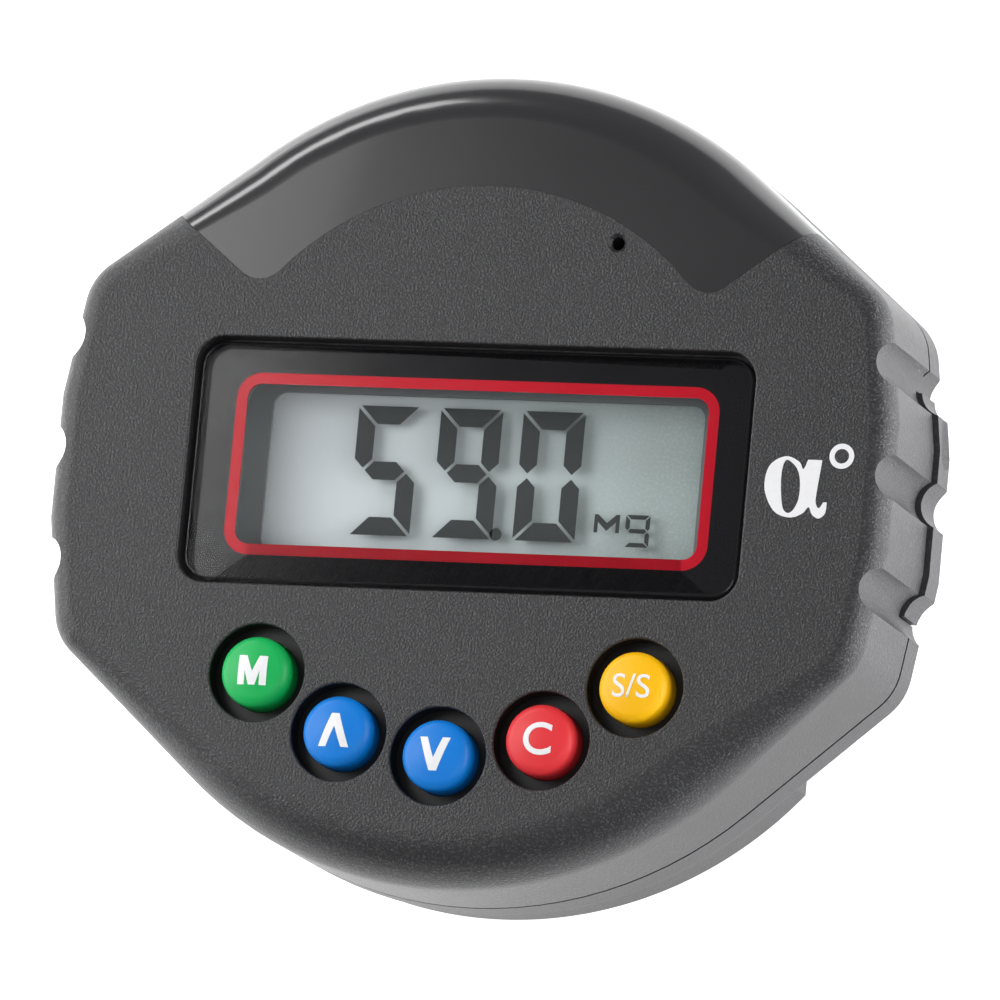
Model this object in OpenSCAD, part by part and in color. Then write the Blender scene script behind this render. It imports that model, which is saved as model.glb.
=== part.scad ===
// Digital torque angle gauge that lies face up.
// Round two-part casing with grooved side grips, display window, five keys, signal lens,
// coin cell drawer and magnetic back. Origin in the middle of the flat back, X to the right
// and Y up as the face is read, Z out of the face. Millimetres.

/* [Casing] */
// Radius of the round outline
case_r = 39.2; // [38.6:0.1:42]
// How far the side grips stand out past the round outline
grip_out = 2.3; // [1.8:0.1:2.6]
// How far sideways the grip corners stand out past the round outline
corner_out = 0.6; // [0.3:0.1:1]
// Half height of a grip between its corners
corner_y = 17.4; // [17:0.1:18.4]
// Half height of the upright middle stretch of a grip
grip_flat = 6; // [4:0.5:9]
// Height of display and grips above the middle of the casing
face_y = 0.5; // [0:0.1:0.8]
// Depth of the front casing
front_depth = 14.6; // [14.4:0.1:16]
// Depth of the rim of the rear casing
rim_depth = 5; // [5:0.1:6]
// Depth of the base behind the rim
base_depth = 5.2; // [5.2:0.1:8]
// Width of the base
base_w = 58.5; // [55:0.5:59]
// How far the base stands in from the round outline
base_in = 0.4; // [0.4:0.1:1.4]
// Rounding of the front shoulder above and below
shoulder_r = 5; // [4.6:0.1:5.6]
// Rounding of the front shoulder along the grips
grip_shoulder_r = 2.4; // [2:0.1:3.4]
// Rounding of the rear edges
rear_r = 1.2; // [1:0.1:1.6]
// Thickness of the side walls
wall = 2.6; // [2.5:0.1:2.8]
// Thickness of the face
face_t = 3; // [2.9:0.1:3.3]
// Thickness of the back
back_t = 2.4; // [2:0.1:3]
// Height of the shadow gap between the casings
part_gap = 0.4; // [0.3:0.1:0.6]
// Depth of the shadow gap between the casings
part_gap_in = 0.7; // [0.5:0.1:1]

/* [Side grooves] */
// Radius of a grip groove
groove_r = 2.3; // [2:0.1:2.6]
// Depth of a grip groove
groove_in = 1.4; // [1:0.1:1.5]
// Height of the grooves and the drawer above the display middle
groove_y = 0.8; // [0:0.1:1]
// Distance between grip grooves
groove_pitch = 10.9; // [10.9:0.1:11.4]

/* [Display] */
// Width of the window plate
window_w = 54.8; // [53:0.1:56]
// Height of the window plate
window_h = 23.1; // [22.5:0.1:24]
// Thickness of the window plate
window_t = 1.2; // [1:0.1:1.2]
// Corner radius of the window plate
window_r = 2.4; // [1.5:0.1:3]
// Depth of the window plate below the face
window_in = 0.7; // [0.5:0.1:0.9]
// Gap around the window plate
window_gap = 0.35; // [0.2:0.05:0.5]
// Thickness of the print behind the window
print_t = 0.15; // [0.1:0.05:0.15]
// Width of the view through the window, inside the coloured line
view_w = 45.8; // [44:0.1:46]
// Height of the view through the window, inside the coloured line
view_h = 15.5; // [15:0.1:16]
// Corner radius of the view
view_r = 1.4; // [1:0.1:2]
// Width of the coloured line round the view
line_w = 1.05; // [0.8:0.05:1.3]
// Width of the liquid crystal panel
panel_w = 50; // [49:0.1:50.5]
// Height of the liquid crystal panel
panel_h = 20.4; // [20:0.1:20.8]
// Thickness of the liquid crystal panel
panel_t = 2.2; // [2:0.1:2.4]
// Depth of the liquid crystal panel behind the window
panel_in = 4; // [3.6:0.1:4.2]
// Height of the contact strips under the panel
strip_t = 1.6; // [1.4:0.1:1.8]
// How far the sides of the panel frame reach into the view
frame_lip = 1.4; // [0.8:0.1:1.6]
// Thickness of the lip of the panel frame
frame_lip_t = 0.4; // [0.3:0.1:0.8]
// Wall of the frame that holds the panel
frame_wall = 1.2; // [1:0.1:1.3]

/* [Keys] */
// Distance of the key arc from the round outline
key_in = 11.5; // [11:0.1:12]
// Angle between neighbouring keys
key_step = 21.2; // [21:0.1:22]
// Diameter of a key cap
key_d = 6.8; // [6.4:0.1:7]
// Height of a key cap above the face
key_out = 1.4; // [1:0.1:1.8]
// Travel of a key
key_travel = 0.8; // [0.5:0.1:0.8]
// Edge rounding of a key cap
key_edge_r = 0.9; // [0.5:0.1:1.1]
// Radius of the dome of a key cap
key_dome_r = 14; // [10:1:30]
// Clearance of a key cap in its hole
key_fit = 0.1; // [0.06:0.02:0.1]
// Diameter of the dish round a key
dish_d = 9.4; // [9:0.1:9.6]
// Depth of the dish round a key
dish_in = 2.1; // [1.6:0.1:2.2]
// Width of the flange under a key cap
flange_out = 0.9; // [0.7:0.1:1]
// Thickness of the flange under a key cap
flange_t = 1; // [0.8:0.1:1.1]
// Diameter of a switch plunger
plunger_d = 3.4; // [3:0.1:3.6]
// Clearance of a plunger in its switch
plunger_fit = 0.05; // [0.04:0.01:0.08]
// Width of a switch body
switch_w = 6; // [5.6:0.1:6.2]

/* [Signal lens] */
// Width of the lens band on the face, from its inner arc to the outline
lens_band = 11.4; // [11:0.1:12]
// Half angle of the lens from the top
lens_half = 52; // [48:1:54]
// Radius of the lens tips
lens_tip_r = 2.6; // [2:0.1:3]
// Thickness of the lens
lens_t = 1.5; // [1.3:0.1:1.5]
// Height of casing left under the lens at the side
lens_foot = 2.6; // [2:0.1:4]
// Clearance round the lens
lens_fit = 0.1; // [0.1:0.05:0.2]
// Width of the ledge that carries the lens
lens_ledge = 1.4; // [1:0.1:1.8]

/* [Sounder and board] */
// Distance of the sound hole from the round outline
sound_in = 13.2; // [13:0.1:13.8]
// Angle of the sound hole from the top
sound_turn = 30; // [28:1:32]
// Diameter of the sound hole
sound_d = 1.25; // [1:0.05:1.5]
// Diameter of the sounder
sounder_d = 8; // [7.5:0.1:8.2]
// Thickness of the circuit board
board_t = 1.6; // [1:0.1:1.6]

/* [Battery drawer] */
// Diameter of the coin cell
cell_d = 20; // [19.8:0.1:20.1]
// Thickness of the coin cell
cell_t = 3.2; // [2.5:0.1:3.2]
// Clearance round the coin cell
cell_fit = 0.15; // [0.1:0.05:0.2]
// Thickness of the drawer floor
drawer_floor = 0.5; // [0.4:0.1:0.5]
// How far the drawer front stands out past the grip
drawer_out = 0.5; // [0.4:0.1:1]
// Clearance round the drawer
drawer_fit = 0.15; // [0.1:0.05:0.2]
// Thickness of the rim floor under the drawer
ear_floor = 0.9; // [0.8:0.1:1]

/* [Magnets] */
// Diameter of a magnet
magnet_d = 12; // [10:0.5:13]
// Thickness of a magnet
magnet_t = 3; // [2:0.5:3]
// Depth of a magnet below the back
magnet_in = 0.2; // [0.1:0.1:0.3]
// Sideways place of a magnet
magnet_x = 16; // [15:0.5:17]
// Height of a magnet above or below the middle
magnet_y = 20; // [19:0.5:21]

/* [Screws] */
// Thread diameter of a casing screw
case_screw_d = 2.3; // [2:0.1:2.5]
// Head diameter of a casing screw
case_head_d = 4.2; // [4:0.1:4.4]
// Thread diameter of a board screw
board_screw_d = 1.9; // [1.6:0.1:2]
// Head diameter of a board screw
board_head_d = 3.4; // [3.2:0.1:3.6]
// Clearance round screws and magnets
screw_fit = 0.1; // [0.05:0.05:0.15]

/* [Hidden] */
$fn = 96;
round_steps = 26;
corner_steps = 6;
edge_steps = 7;
over = 1;
bury = 0.5;

// Radius of the grip corners, always more than the shoulder
corner_r = shoulder_r + 0.6;

// Levels from the back to the face
z_rim = base_depth;
z_part = z_rim + rim_depth;
z_rim_top = z_part - part_gap;
z_face = z_part + front_depth;
z_inside = z_face - face_t;
z_window = z_face - window_in - window_t;
z_print = z_window - print_t;
z_panel = z_window - panel_in;
z_board = z_panel - panel_t - strip_t;
z_board_under = z_board - board_t;
z_lens = z_part + lens_foot;
z_ear = z_rim + ear_floor;
z_tray = z_ear + drawer_fit;
z_cell = z_tray + drawer_floor;

// Plan of the keys
key_ring = case_r - key_in;
key_hole_d = key_d + 2 * key_fit;
flange_d = key_d + 2 * flange_out;
flange_gap = 0.1;
z_flange = z_inside - flange_gap - flange_t;
switch_gap = 0.1;
switch_t = z_flange - key_travel - switch_gap - z_board;
plunger_deep = 1.8;
plunger_room = 0.2;
function key_place(k) = [key_ring * sin(k * key_step), face_y - key_ring * cos(k * key_step), 0];

// Plan of the signal lens
lens_ring = case_r - lens_band + lens_tip_r;
lens_tip_at = lens_half - asin(lens_tip_r / lens_ring);
arc_steps = 14;
tip_steps = 6;
function bearing(a) = [sin(a), cos(a)];

// Plan of the drawer
grip_x = case_r + grip_out;
front_x = grip_x - wall;
drawer_y = face_y + groove_y;
pocket_d = cell_d + 2 * cell_fit;
pocket_wall = 0.8;
cell_x = front_x - pocket_wall - pocket_d / 2;
tray_x = cell_x - pocket_d / 2 - pocket_wall;
tray_w = pocket_d + pocket_wall;
drawer_w = 2 * groove_pitch - 2 * drawer_fit;
contact_w = 4;
contact_t = 0.3;
contact_gap = 0.05;
slot_w = contact_w + 1.2;
rail_w = 2.4;
dimple_r = 2.6;
dimple_in = 0.7;
dimple_half = 1.2;
dimple_y = 0.62 * groove_pitch;
nail_r = 1.6;

// Plan of the screws
boss_d = 6;
post_d = 4;
case_screw_x = case_r - 6.2;
case_screw_y = 15;
case_head_t = 1.6;
case_screw_long = 9;
case_head_sink = 0.3;
frame_w = panel_w + 2 * frame_wall + 2 * screw_fit;
frame_h = panel_h + 2 * frame_wall + 2 * screw_fit;
screw_space = 1.2;
frame_space = 2.9;
board_screw_x = case_screw_x - boss_d / 2 - board_head_d / 2 - screw_space;
board_screw_y = frame_h / 2 + frame_space;
board_head_t = 1.3;
board_screw_long = 4;
board_edge = 2.4;
board_half = board_screw_x + board_edge;

// Sizes of what the board carries
sounder_gap = 0.8;
sound_ring = case_r - sound_in;
lamp_step = 27;
lamp_w = 3;
lamp_d = 2;
lamp_t = 1.4;
lamp_past = 2;
lamp_ring = lens_ring + lamp_past;
sensor_w = 7;
sensor_t = 2.4;
chip_in = 13.5;
chip_w = 10;
chip_t = 1.4;

// Sizes of the battery contacts
upper_reach = 8;
riser_gap = 2;
bump_w = 2;

// Corner and side points of the right grip, s is 1 above and -1 below the display middle
function corner_point(s) = [case_r + corner_out, face_y + s * corner_y];
function side_point(s) = [grip_x, face_y + s * grip_flat];
function heading(a) = [cos(a), sin(a)];
function flank_angle(s, p) = atan2(p.y, p.x) + s * acos(case_r / norm(p));
function flank_at(s) = flank_angle(s, corner_point(s));
function flank_normal(s) = heading(flank_at(s));
function turned(d, s) = s * [d.y, -d.x] / norm(d);
function side_normal(s) = turned(corner_point(s) - side_point(s), s);
function side_at(s) = atan2(side_normal(s).y, side_normal(s).x);
function meet(p, n, m, inset) = p - inset * (n + m) / (1 + n * m);
function corner_inset(s, inset) = meet(corner_point(s), flank_normal(s), side_normal(s), inset);
function side_inset(s, inset) = meet(side_point(s), side_normal(s), [1, 0], inset);

module slab(z0, z1) {
    translate([0, 0, z0])
        linear_extrude(z1 - z0)
            children();
}

module both_sides() {
    for (m = [0, 1])
        mirror([m, 0, 0])
            children();
}

// Round stretch of the outline
function arc(middle, r, a0, a1, steps) =
    [for (k = [0 : steps]) middle + r * heading(a0 + (a1 - a0) * k / steps)];
function mirrored(p) = [-p.x, p.y];
function corner_arc(s, inset, a0, a1) =
    arc(corner_inset(s, corner_r), corner_r - inset, a0, a1, corner_steps);
function right_grip(inset) = concat(
    corner_arc(-1, inset, flank_at(-1), side_at(-1)),
    [side_inset(-1, inset), side_inset(1, inset)],
    corner_arc(1, inset, side_at(1), flank_at(1))
);

// Outline of the casing, moved in all round by inset
function ring(inset) = let (grip = right_grip(inset)) concat(
    grip,
    arc([0, 0], case_r - inset, flank_at(1), 180 - flank_at(1), round_steps),
    [for (k = [len(grip) - 1 : -1 : 0]) mirrored(grip[k])],
    arc([0, 0], case_r - inset, 180 - flank_at(-1), 360 + flank_at(-1), round_steps)
);

module outline(inset = 0) {
    polygon(ring(inset));
}

// Rounded lower edge as a list of heights and insets
function bottom_edge(z, r) = [for (k = [edge_steps : -1 : 0]) edge_level(z, r, 90 * k / edge_steps)];
function edge_level(z, r, a) = [z + r * (1 - sin(a)), r * (1 - cos(a))];

// Outline at one height, moved in all round by inset
function flat_ring(z, inset) = [for (p = ring(inset)) [p.x, p.y, z]];

// Outline on the front shoulder, a degrees up its rounding, which is tighter along the grips
function on_grip(k) = let (n = len(right_grip(0))) k % (n + round_steps + 1) < n;
function shoulder_at(k) = on_grip(k) ? grip_shoulder_r : shoulder_r;
function shoulder_ring(a) = let (full = ring(0), moved = ring(shoulder_r))
    [for (k = [0 : len(full) - 1])
        let (r = shoulder_at(k), p = full[k] + (moved[k] - full[k]) * r * (1 - cos(a)) / shoulder_r)
            [p.x, p.y, z_face - r * (1 - sin(a))]];

// Solid through rings of points, from the lowest to the highest
module ring_body(rings) {
    n = len(rings[0]);
    top = len(rings) - 1;
    points = [for (one = rings) for (p = one) p];
    bottom_face = [for (k = [0 : n - 1]) k];
    top_face = [for (k = [n - 1 : -1 : 0]) top * n + k];
    rising = [for (j = [0 : top - 1]) for (k = [0 : n - 1])
        [j * n + k, (j + 1) * n + k, (j + 1) * n + (k + 1) % n]];
    falling = [for (j = [0 : top - 1]) for (k = [0 : n - 1])
        [j * n + k, (j + 1) * n + (k + 1) % n, j * n + (k + 1) % n]];
    polyhedron(points, concat([bottom_face, top_face], rising, falling));
}

module front_shell() {
    ring_body(concat(
        [flat_ring(z_part, 0)],
        [for (k = [0 : edge_steps]) shoulder_ring(90 * k / edge_steps)]
    ));
}

module rim_shell(grow = 0) {
    ring_body(concat(
        [for (level = bottom_edge(z_rim, rear_r)) flat_ring(level[0], level[1] - grow)],
        [flat_ring(z_rim_top, -grow)]
    ));
}

// Sideways place of the grip outline at a height y on the face
function grip_taper(y) = max(0, abs(y - face_y) - grip_flat) / (corner_y - grip_flat);
function grip_edge(y) = grip_x - grip_taper(y) * (grip_out - corner_out);

// Grooves down the side grips, each as deep below the outline
module grip_grooves() {
    both_sides()
        for (k = [-1, 0, 1])
            let (y = drawer_y + k * groove_pitch)
                translate([grip_edge(y) - groove_in + groove_r, y, z_rim - over])
                    cylinder(r = groove_r, h = z_face - z_rim + 2 * over);
}

// Deeper notches at the ends of the drawer front
module nail_notches() {
    for (k = [-1, 1])
        translate([grip_x, drawer_y + k * groove_pitch, z_rim - over])
            cylinder(r = nail_r, h = rim_depth + over);
}

module rounded_plate(w, h, r) {
    translate([0, face_y]) {
        square([w - 2 * r, h], center = true);
        square([w, h - 2 * r], center = true);
        for (x = [-1, 1], y = [-1, 1])
            translate([x * (w / 2 - r), y * (h / 2 - r)])
                circle(r = r);
    }
}

// Right half of the lens plan, grown all round: inner arc, tip, then well outside the casing
function lens_half_plan(tip_r, edge_at, far) = concat(
    [for (k = [0 : arc_steps]) (lens_ring - tip_r) * bearing(lens_tip_at * k / arc_steps)],
    [for (k = [1 : tip_steps])
        lens_ring * bearing(lens_tip_at)
            + tip_r * bearing(lens_tip_at + 180 + (edge_at - 90 - lens_tip_at) * k / tip_steps)],
    [for (k = [2 : -1 : 0]) far * bearing(edge_at * k / 2)]
);

// Upright block over the plan of the lens
module lens_block(z0, z1, grow = 0) {
    tip_r = lens_tip_r + grow;
    right = lens_half_plan(tip_r, lens_tip_at + asin(tip_r / lens_ring), 1.5 * case_r);
    slab(z0, z1)
        polygon(concat(right, [for (k = [len(right) - 2 : -1 : 1]) [-right[k].x, right[k].y]]));
}

// Stepped seat under the lens, at depth t below the casing surface
module lens_seat(t) {
    step = t + over;
    slab(z_part - over, z_face - step)
        outline(t);
    slab(z_part - over, z_face - t)
        outline(step);
}

module at_case_screws() {
    both_sides()
        for (s = [-1, 1])
            translate([case_screw_x, face_y + s * case_screw_y, 0])
                children();
}

module at_board_screws() {
    both_sides()
        for (s = [-1, 1])
            translate([board_screw_x, face_y + s * board_screw_y, 0])
                children();
}

module at_sound_hole(z) {
    translate([sound_ring * sin(sound_turn), sound_ring * cos(sound_turn), z])
        children();
}

module at_keys() {
    for (k = [-2 : 2])
        translate(key_place(k))
            children();
}

module at_magnets() {
    both_sides()
        for (s = [-1, 1])
            translate([magnet_x, s * magnet_y, 0])
                children();
}

// Shells

module front_casing() {
    color([0.27, 0.27, 0.28])
        difference() {
            union() {
                difference() {
                    front_shell();
                    slab(z_part - over, z_inside)
                        outline(wall);
                    difference() {
                        lens_block(z_lens - lens_fit, z_face + over, lens_fit);
                        lens_seat(lens_t + lens_fit);
                    }
                    intersection() {
                        lens_block(z_inside - over, z_face + over, -lens_ledge);
                        cylinder(r = case_r - wall - lens_ledge, h = z_face);
                    }
                }
                at_case_screws()
                    translate([0, 0, z_part])
                        cylinder(d = boss_d, h = z_inside - z_part + bury);
                at_board_screws()
                    translate([0, 0, z_board])
                        cylinder(d = post_d, h = z_inside - z_board + bury);
            }
            slab(z_print, z_face + over)
                rounded_plate(window_w + 2 * window_gap, window_h + 2 * window_gap, window_r + window_gap);
            slab(z_inside - over, z_face)
                rounded_plate(view_w + 2 * line_w, view_h + 2 * line_w, view_r + line_w);
            at_keys() {
                translate([0, 0, z_face - dish_in])
                    cylinder(d = dish_d, h = dish_in + over);
                translate([0, 0, z_inside - over])
                    cylinder(d = key_hole_d, h = face_t + over);
            }
            at_sound_hole(z_inside - over) {
                cylinder(d = sound_d, h = face_t + 2 * over);
                translate([0, 0, face_t + over - sound_d / 4])
                    cylinder(d1 = sound_d, d2 = 2 * sound_d, h = sound_d / 2);
            }
            at_case_screws()
                translate([0, 0, z_part - over])
                    cylinder(d = case_screw_d + 2 * screw_fit, h = case_screw_long + over);
            at_board_screws()
                translate([0, 0, z_board - over])
                    cylinder(d = board_screw_d + 2 * screw_fit, h = board_screw_long + over);
            grip_grooves();
        }
}

module base_solid() {
    base_r = case_r - base_in;
    intersection() {
        rotate_extrude() {
            square([base_r - rear_r, z_rim + over]);
            translate([0, rear_r])
                square([base_r, z_rim + over - rear_r]);
            translate([base_r - rear_r, rear_r])
                circle(r = rear_r);
        }
        rotate([90, 0, 0])
            linear_extrude(2 * case_r, center = true) {
                translate([-base_w / 2 + rear_r, 0])
                    square([base_w - 2 * rear_r, z_rim + over]);
                translate([-base_w / 2, rear_r])
                    square([base_w, z_rim + over - rear_r]);
                for (x = [-1, 1])
                    translate([x * (base_w / 2 - rear_r), rear_r])
                        circle(r = rear_r);
            }
    }
}

module rear_casing() {
    color([0.24, 0.24, 0.25])
        difference() {
            union() {
                difference() {
                    union() {
                        rim_shell();
                        base_solid();
                        slab(z_rim_top - over, z_part)
                            outline(part_gap_in);
                    }
                    slab(z_ear, z_part + over)
                        outline(wall);
                    slab(back_t, z_ear + over)
                        intersection() {
                            circle(r = case_r - base_in - wall);
                            square([base_w - 2 * wall, 2 * case_r], center = true);
                        }
                }
                at_case_screws()
                    translate([0, 0, z_rim])
                        cylinder(d = boss_d, h = z_part - z_rim);
                at_magnets()
                    translate([0, 0, back_t - bury])
                        cylinder(d = magnet_d + 2 * back_t, h = magnet_in + magnet_t + bury);
                for (s = [-1, 1])
                    translate([tray_x, drawer_y + s * (tray_w / 2 + drawer_fit) - rail_w / 2, back_t - bury])
                        cube([base_w / 2 - tray_x, rail_w, z_rim_top - back_t]);
            }
            translate([tray_x - over, drawer_y - tray_w / 2 - drawer_fit, z_ear])
                cube([2 * case_r, tray_w + 2 * drawer_fit, rim_depth]);
            translate([front_x - drawer_fit, drawer_y - groove_pitch, z_rim - over])
                cube([case_r, 2 * groove_pitch, rim_depth + 2 * over]);
            at_magnets()
                translate([0, 0, -over])
                    cylinder(d = magnet_d + 2 * screw_fit, h = magnet_in + magnet_t + over);
            at_case_screws() {
                translate([0, 0, z_rim - over])
                    cylinder(d = case_screw_d + 2 * screw_fit, h = rim_depth + 2 * over);
                translate([0, 0, z_rim - over])
                    cylinder(d = case_head_d + 2 * screw_fit, h = case_head_sink + case_head_t + over);
            }
            grip_grooves();
            nail_notches();
        }
}

module signal_lens() {
    color([0.2, 0.2, 0.21])
        difference() {
            intersection() {
                front_shell();
                lens_block(z_lens, z_face + over);
            }
            lens_seat(lens_t);
        }
}

// Display

module display_window() {
    color([0.75, 0.78, 0.78])
        slab(z_window, z_window + window_t)
            rounded_plate(window_w, window_h, window_r);
}

module window_print() {
    color([0.06, 0.06, 0.07])
        slab(z_print, z_window)
            difference() {
                rounded_plate(window_w, window_h, window_r);
                rounded_plate(view_w + 2 * line_w, view_h + 2 * line_w, view_r + line_w);
            }
}

module window_line() {
    color([0.8, 0.05, 0.14])
        slab(z_print, z_window)
            difference() {
                rounded_plate(view_w + 2 * line_w, view_h + 2 * line_w, view_r + line_w);
                rounded_plate(view_w, view_h, view_r);
            }
}

module panel_frame() {
    color([0.16, 0.16, 0.17])
        difference() {
            slab(z_board, z_inside)
                rounded_plate(frame_w, frame_h, frame_wall);
            slab(z_board - over, z_panel)
                rounded_plate(panel_w + 2 * screw_fit, panel_h + 2 * screw_fit, screw_fit);
            slab(z_panel - over, z_inside + over)
                rounded_plate(view_w - 2 * frame_lip, view_h, view_r);
            slab(z_panel + frame_lip_t, z_inside + over)
                rounded_plate(view_w + 2 * line_w, view_h + 2 * line_w, view_r + line_w);
        }
}

module display_panel() {
    color([0.62, 0.67, 0.65])
        slab(z_panel - panel_t, z_panel)
            translate([0, face_y])
                square([panel_w, panel_h], center = true);
}

module contact_strips() {
    strip_w = 2;
    color([0.12, 0.12, 0.12])
        for (s = [-1, 1])
            slab(z_board, z_board + strip_t)
                translate([0, face_y + s * (panel_h / 2 - strip_w / 2)])
                    square([panel_w - 2 * strip_w, strip_w], center = true);
}

// Board and what it carries

module circuit_board() {
    color([0.07, 0.3, 0.17])
        difference() {
            slab(z_board_under, z_board)
                intersection() {
                    circle(r = case_r - wall - over);
                    square([2 * board_half, 2 * case_r], center = true);
                }
            at_board_screws()
                translate([0, 0, z_board_under - over])
                    cylinder(d = board_screw_d + 2 * screw_fit, h = board_t + 2 * over);
        }
}

module key_cap(k, shade) {
    top = z_face + key_out;
    color(shade)
        translate(key_place(k))
            rotate_extrude() {
                intersection() {
                    union() {
                        translate([0, z_flange])
                            square([key_d / 2, top - key_edge_r - z_flange]);
                        translate([0, z_flange])
                            square([key_d / 2 - key_edge_r, top - z_flange]);
                        translate([key_d / 2 - key_edge_r, top - key_edge_r])
                            circle(r = key_edge_r);
                    }
                    translate([0, top - key_dome_r])
                        circle(r = key_dome_r);
                }
                translate([0, z_flange])
                    square([flange_d / 2, flange_t]);
            }
}

module key_memory() {
    key_cap(-2, [0.09, 0.7, 0.35]);
}

module key_up() {
    key_cap(-1, [0.04, 0.49, 0.88]);
}

module key_down() {
    key_cap(0, [0.04, 0.49, 0.88]);
}

module key_clear() {
    key_cap(1, [0.94, 0.28, 0.28]);
}

module key_start() {
    key_cap(2, [1, 0.83, 0]);
}

module plunger(k) {
    color([0.1, 0.1, 0.1])
        translate(key_place(k) + [0, 0, z_board + switch_t - plunger_deep])
            cylinder(d = plunger_d, h = plunger_deep + key_travel + switch_gap);
}

module plunger_memory() {
    plunger(-2);
}

module plunger_up() {
    plunger(-1);
}

module plunger_down() {
    plunger(0);
}

module plunger_clear() {
    plunger(1);
}

module plunger_start() {
    plunger(2);
}

module switch_bodies() {
    hole_deep = plunger_deep + key_travel + plunger_room;
    color([0.7, 0.7, 0.68])
        at_keys()
            difference() {
                translate([-switch_w / 2, -switch_w / 2, z_board])
                    cube([switch_w, switch_w, switch_t]);
                translate([0, 0, z_board + switch_t - hole_deep])
                    cylinder(d = plunger_d + 2 * plunger_fit, h = hole_deep + over);
            }
}

module sounder() {
    color([0.08, 0.08, 0.08])
        at_sound_hole(z_board)
            difference() {
                cylinder(d = sounder_d, h = z_inside - sounder_gap - z_board);
                translate([0, 0, z_inside - sounder_gap - z_board - over])
                    cylinder(d = 2 * sound_d, h = 2 * over);
            }
}

module signal_lamps() {
    color([0.9, 0.9, 0.82])
        for (k = [-1 : 1])
            rotate([0, 0, k * lamp_step])
                translate([-lamp_w / 2, lamp_ring - lamp_d / 2, z_board])
                    cube([lamp_w, lamp_d, lamp_t]);
}

module motion_sensor() {
    color([0.5, 0.5, 0.52])
        translate([-sensor_w / 2, face_y - sensor_w / 2, z_board_under - sensor_t])
            cube([sensor_w, sensor_w, sensor_t]);
}

module controller_chip() {
    color([0.1, 0.1, 0.11])
        translate([chip_in - board_half - chip_w / 2, face_y - chip_w / 2, z_board_under - chip_t])
            cube([chip_w, chip_w, chip_t]);
}

// Battery

module battery_drawer() {
    color([0.22, 0.22, 0.23])
        difference() {
            union() {
                intersection() {
                    rim_shell(drawer_out);
                    translate([front_x, drawer_y - drawer_w / 2, z_rim])
                        cube([case_r, drawer_w, rim_depth]);
                }
                translate([tray_x, drawer_y - tray_w / 2, z_tray])
                    cube([front_x - tray_x + bury, tray_w, z_rim_top - z_tray]);
            }
            translate([cell_x, drawer_y, z_cell])
                cylinder(d = pocket_d, h = rim_depth);
            translate([tray_x - over, drawer_y - slot_w / 2, z_tray - over])
                cube([cell_x - tray_x + over + slot_w, slot_w, drawer_floor + 2 * over]);
            for (y = [-1, 1])
                translate([grip_x + drawer_out - dimple_in + dimple_r, drawer_y + dimple_y + y * dimple_half,
                           (z_rim + z_rim_top) / 2])
                    sphere(r = dimple_r);
            translate([grip_x + drawer_out - dimple_in + dimple_r, drawer_y + dimple_y,
                       (z_rim + z_rim_top) / 2])
                rotate([90, 0, 0])
                    cylinder(r = dimple_r, h = 2 * dimple_half, center = true);
            translate([drawer_out, 0, 0])
                grip_grooves();
            nail_notches();
        }
}

module coin_cell() {
    rim_in = 1.2;
    rim_up = 0.3;
    color([0.75, 0.75, 0.74])
        translate([cell_x, drawer_y, z_cell])
            rotate_extrude() {
                square([cell_d / 2 - rim_in, cell_t]);
                translate([0, rim_up])
                    square([cell_d / 2, cell_t - rim_up]);
            }
}

module contact_upper() {
    z_touch = z_cell + cell_t + contact_gap;
    color([0.8, 0.72, 0.5])
        translate([cell_x - upper_reach, drawer_y - contact_w / 2, z_touch]) {
            cube([upper_reach, contact_w, contact_t]);
            cube([contact_t, contact_w, z_board_under - z_touch]);
        }
}

module contact_lower() {
    z_touch = z_cell - contact_gap;
    x0 = tray_x - riser_gap;
    color([0.8, 0.72, 0.5])
        translate([x0, drawer_y - contact_w / 2, z_ear]) {
            cube([cell_x + contact_w - x0, contact_w, contact_t]);
            cube([contact_t, contact_w, z_board_under - z_ear]);
            translate([cell_x - x0 - bump_w / 2, 0, 0])
                cube([bump_w, contact_w, z_touch - z_ear]);
        }
}

// Magnets and screws

module magnets() {
    color([0.72, 0.72, 0.74])
        at_magnets()
            translate([0, 0, magnet_in])
                cylinder(d = magnet_d, h = magnet_t);
}

module screw(thread_d, long, head_d, head_t) {
    recess_d = head_d / 3;
    difference() {
        union() {
            cylinder(d = head_d, h = head_t);
            cylinder(d = thread_d, h = head_t + long);
        }
        translate([0, 0, -over])
            cylinder(d = recess_d, h = over + head_t / 2, $fn = 6);
    }
}

module casing_screws() {
    color([0.3, 0.3, 0.31])
        at_case_screws()
            translate([0, 0, z_rim + case_head_sink])
                screw(case_screw_d, rim_depth + case_screw_long / 2, case_head_d, case_head_t);
}

module board_screws() {
    color([0.7, 0.7, 0.72])
        at_board_screws()
            translate([0, 0, z_board_under - board_head_t])
                screw(board_screw_d, board_t + board_screw_long / 2, board_head_d, board_head_t);
}

front_casing();
rear_casing();
signal_lens();
display_window();
window_print();
window_line();
panel_frame();
display_panel();
contact_strips();
circuit_board();
key_memory();
key_up();
key_down();
key_clear();
key_start();
plunger_memory();
plunger_up();
plunger_down();
plunger_clear();
plunger_start();
switch_bodies();
sounder();
signal_lamps();
motion_sensor();
controller_chip();
battery_drawer();
coin_cell();
contact_upper();
contact_lower();
magnets();
casing_screws();
board_screws();
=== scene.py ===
"""Dressed scene of a digital torque angle gauge that lies face up on a pale floor.

Metres, X to the right and Y up as the face is read, Z out of the face.
"""

import logging
import math
from collections.abc import Callable, Iterator
from contextlib import contextmanager
from dataclasses import dataclass, replace
from enum import Enum
from typing import ClassVar

import bmesh
import bpy
from mathutils import Matrix, Vector


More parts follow.
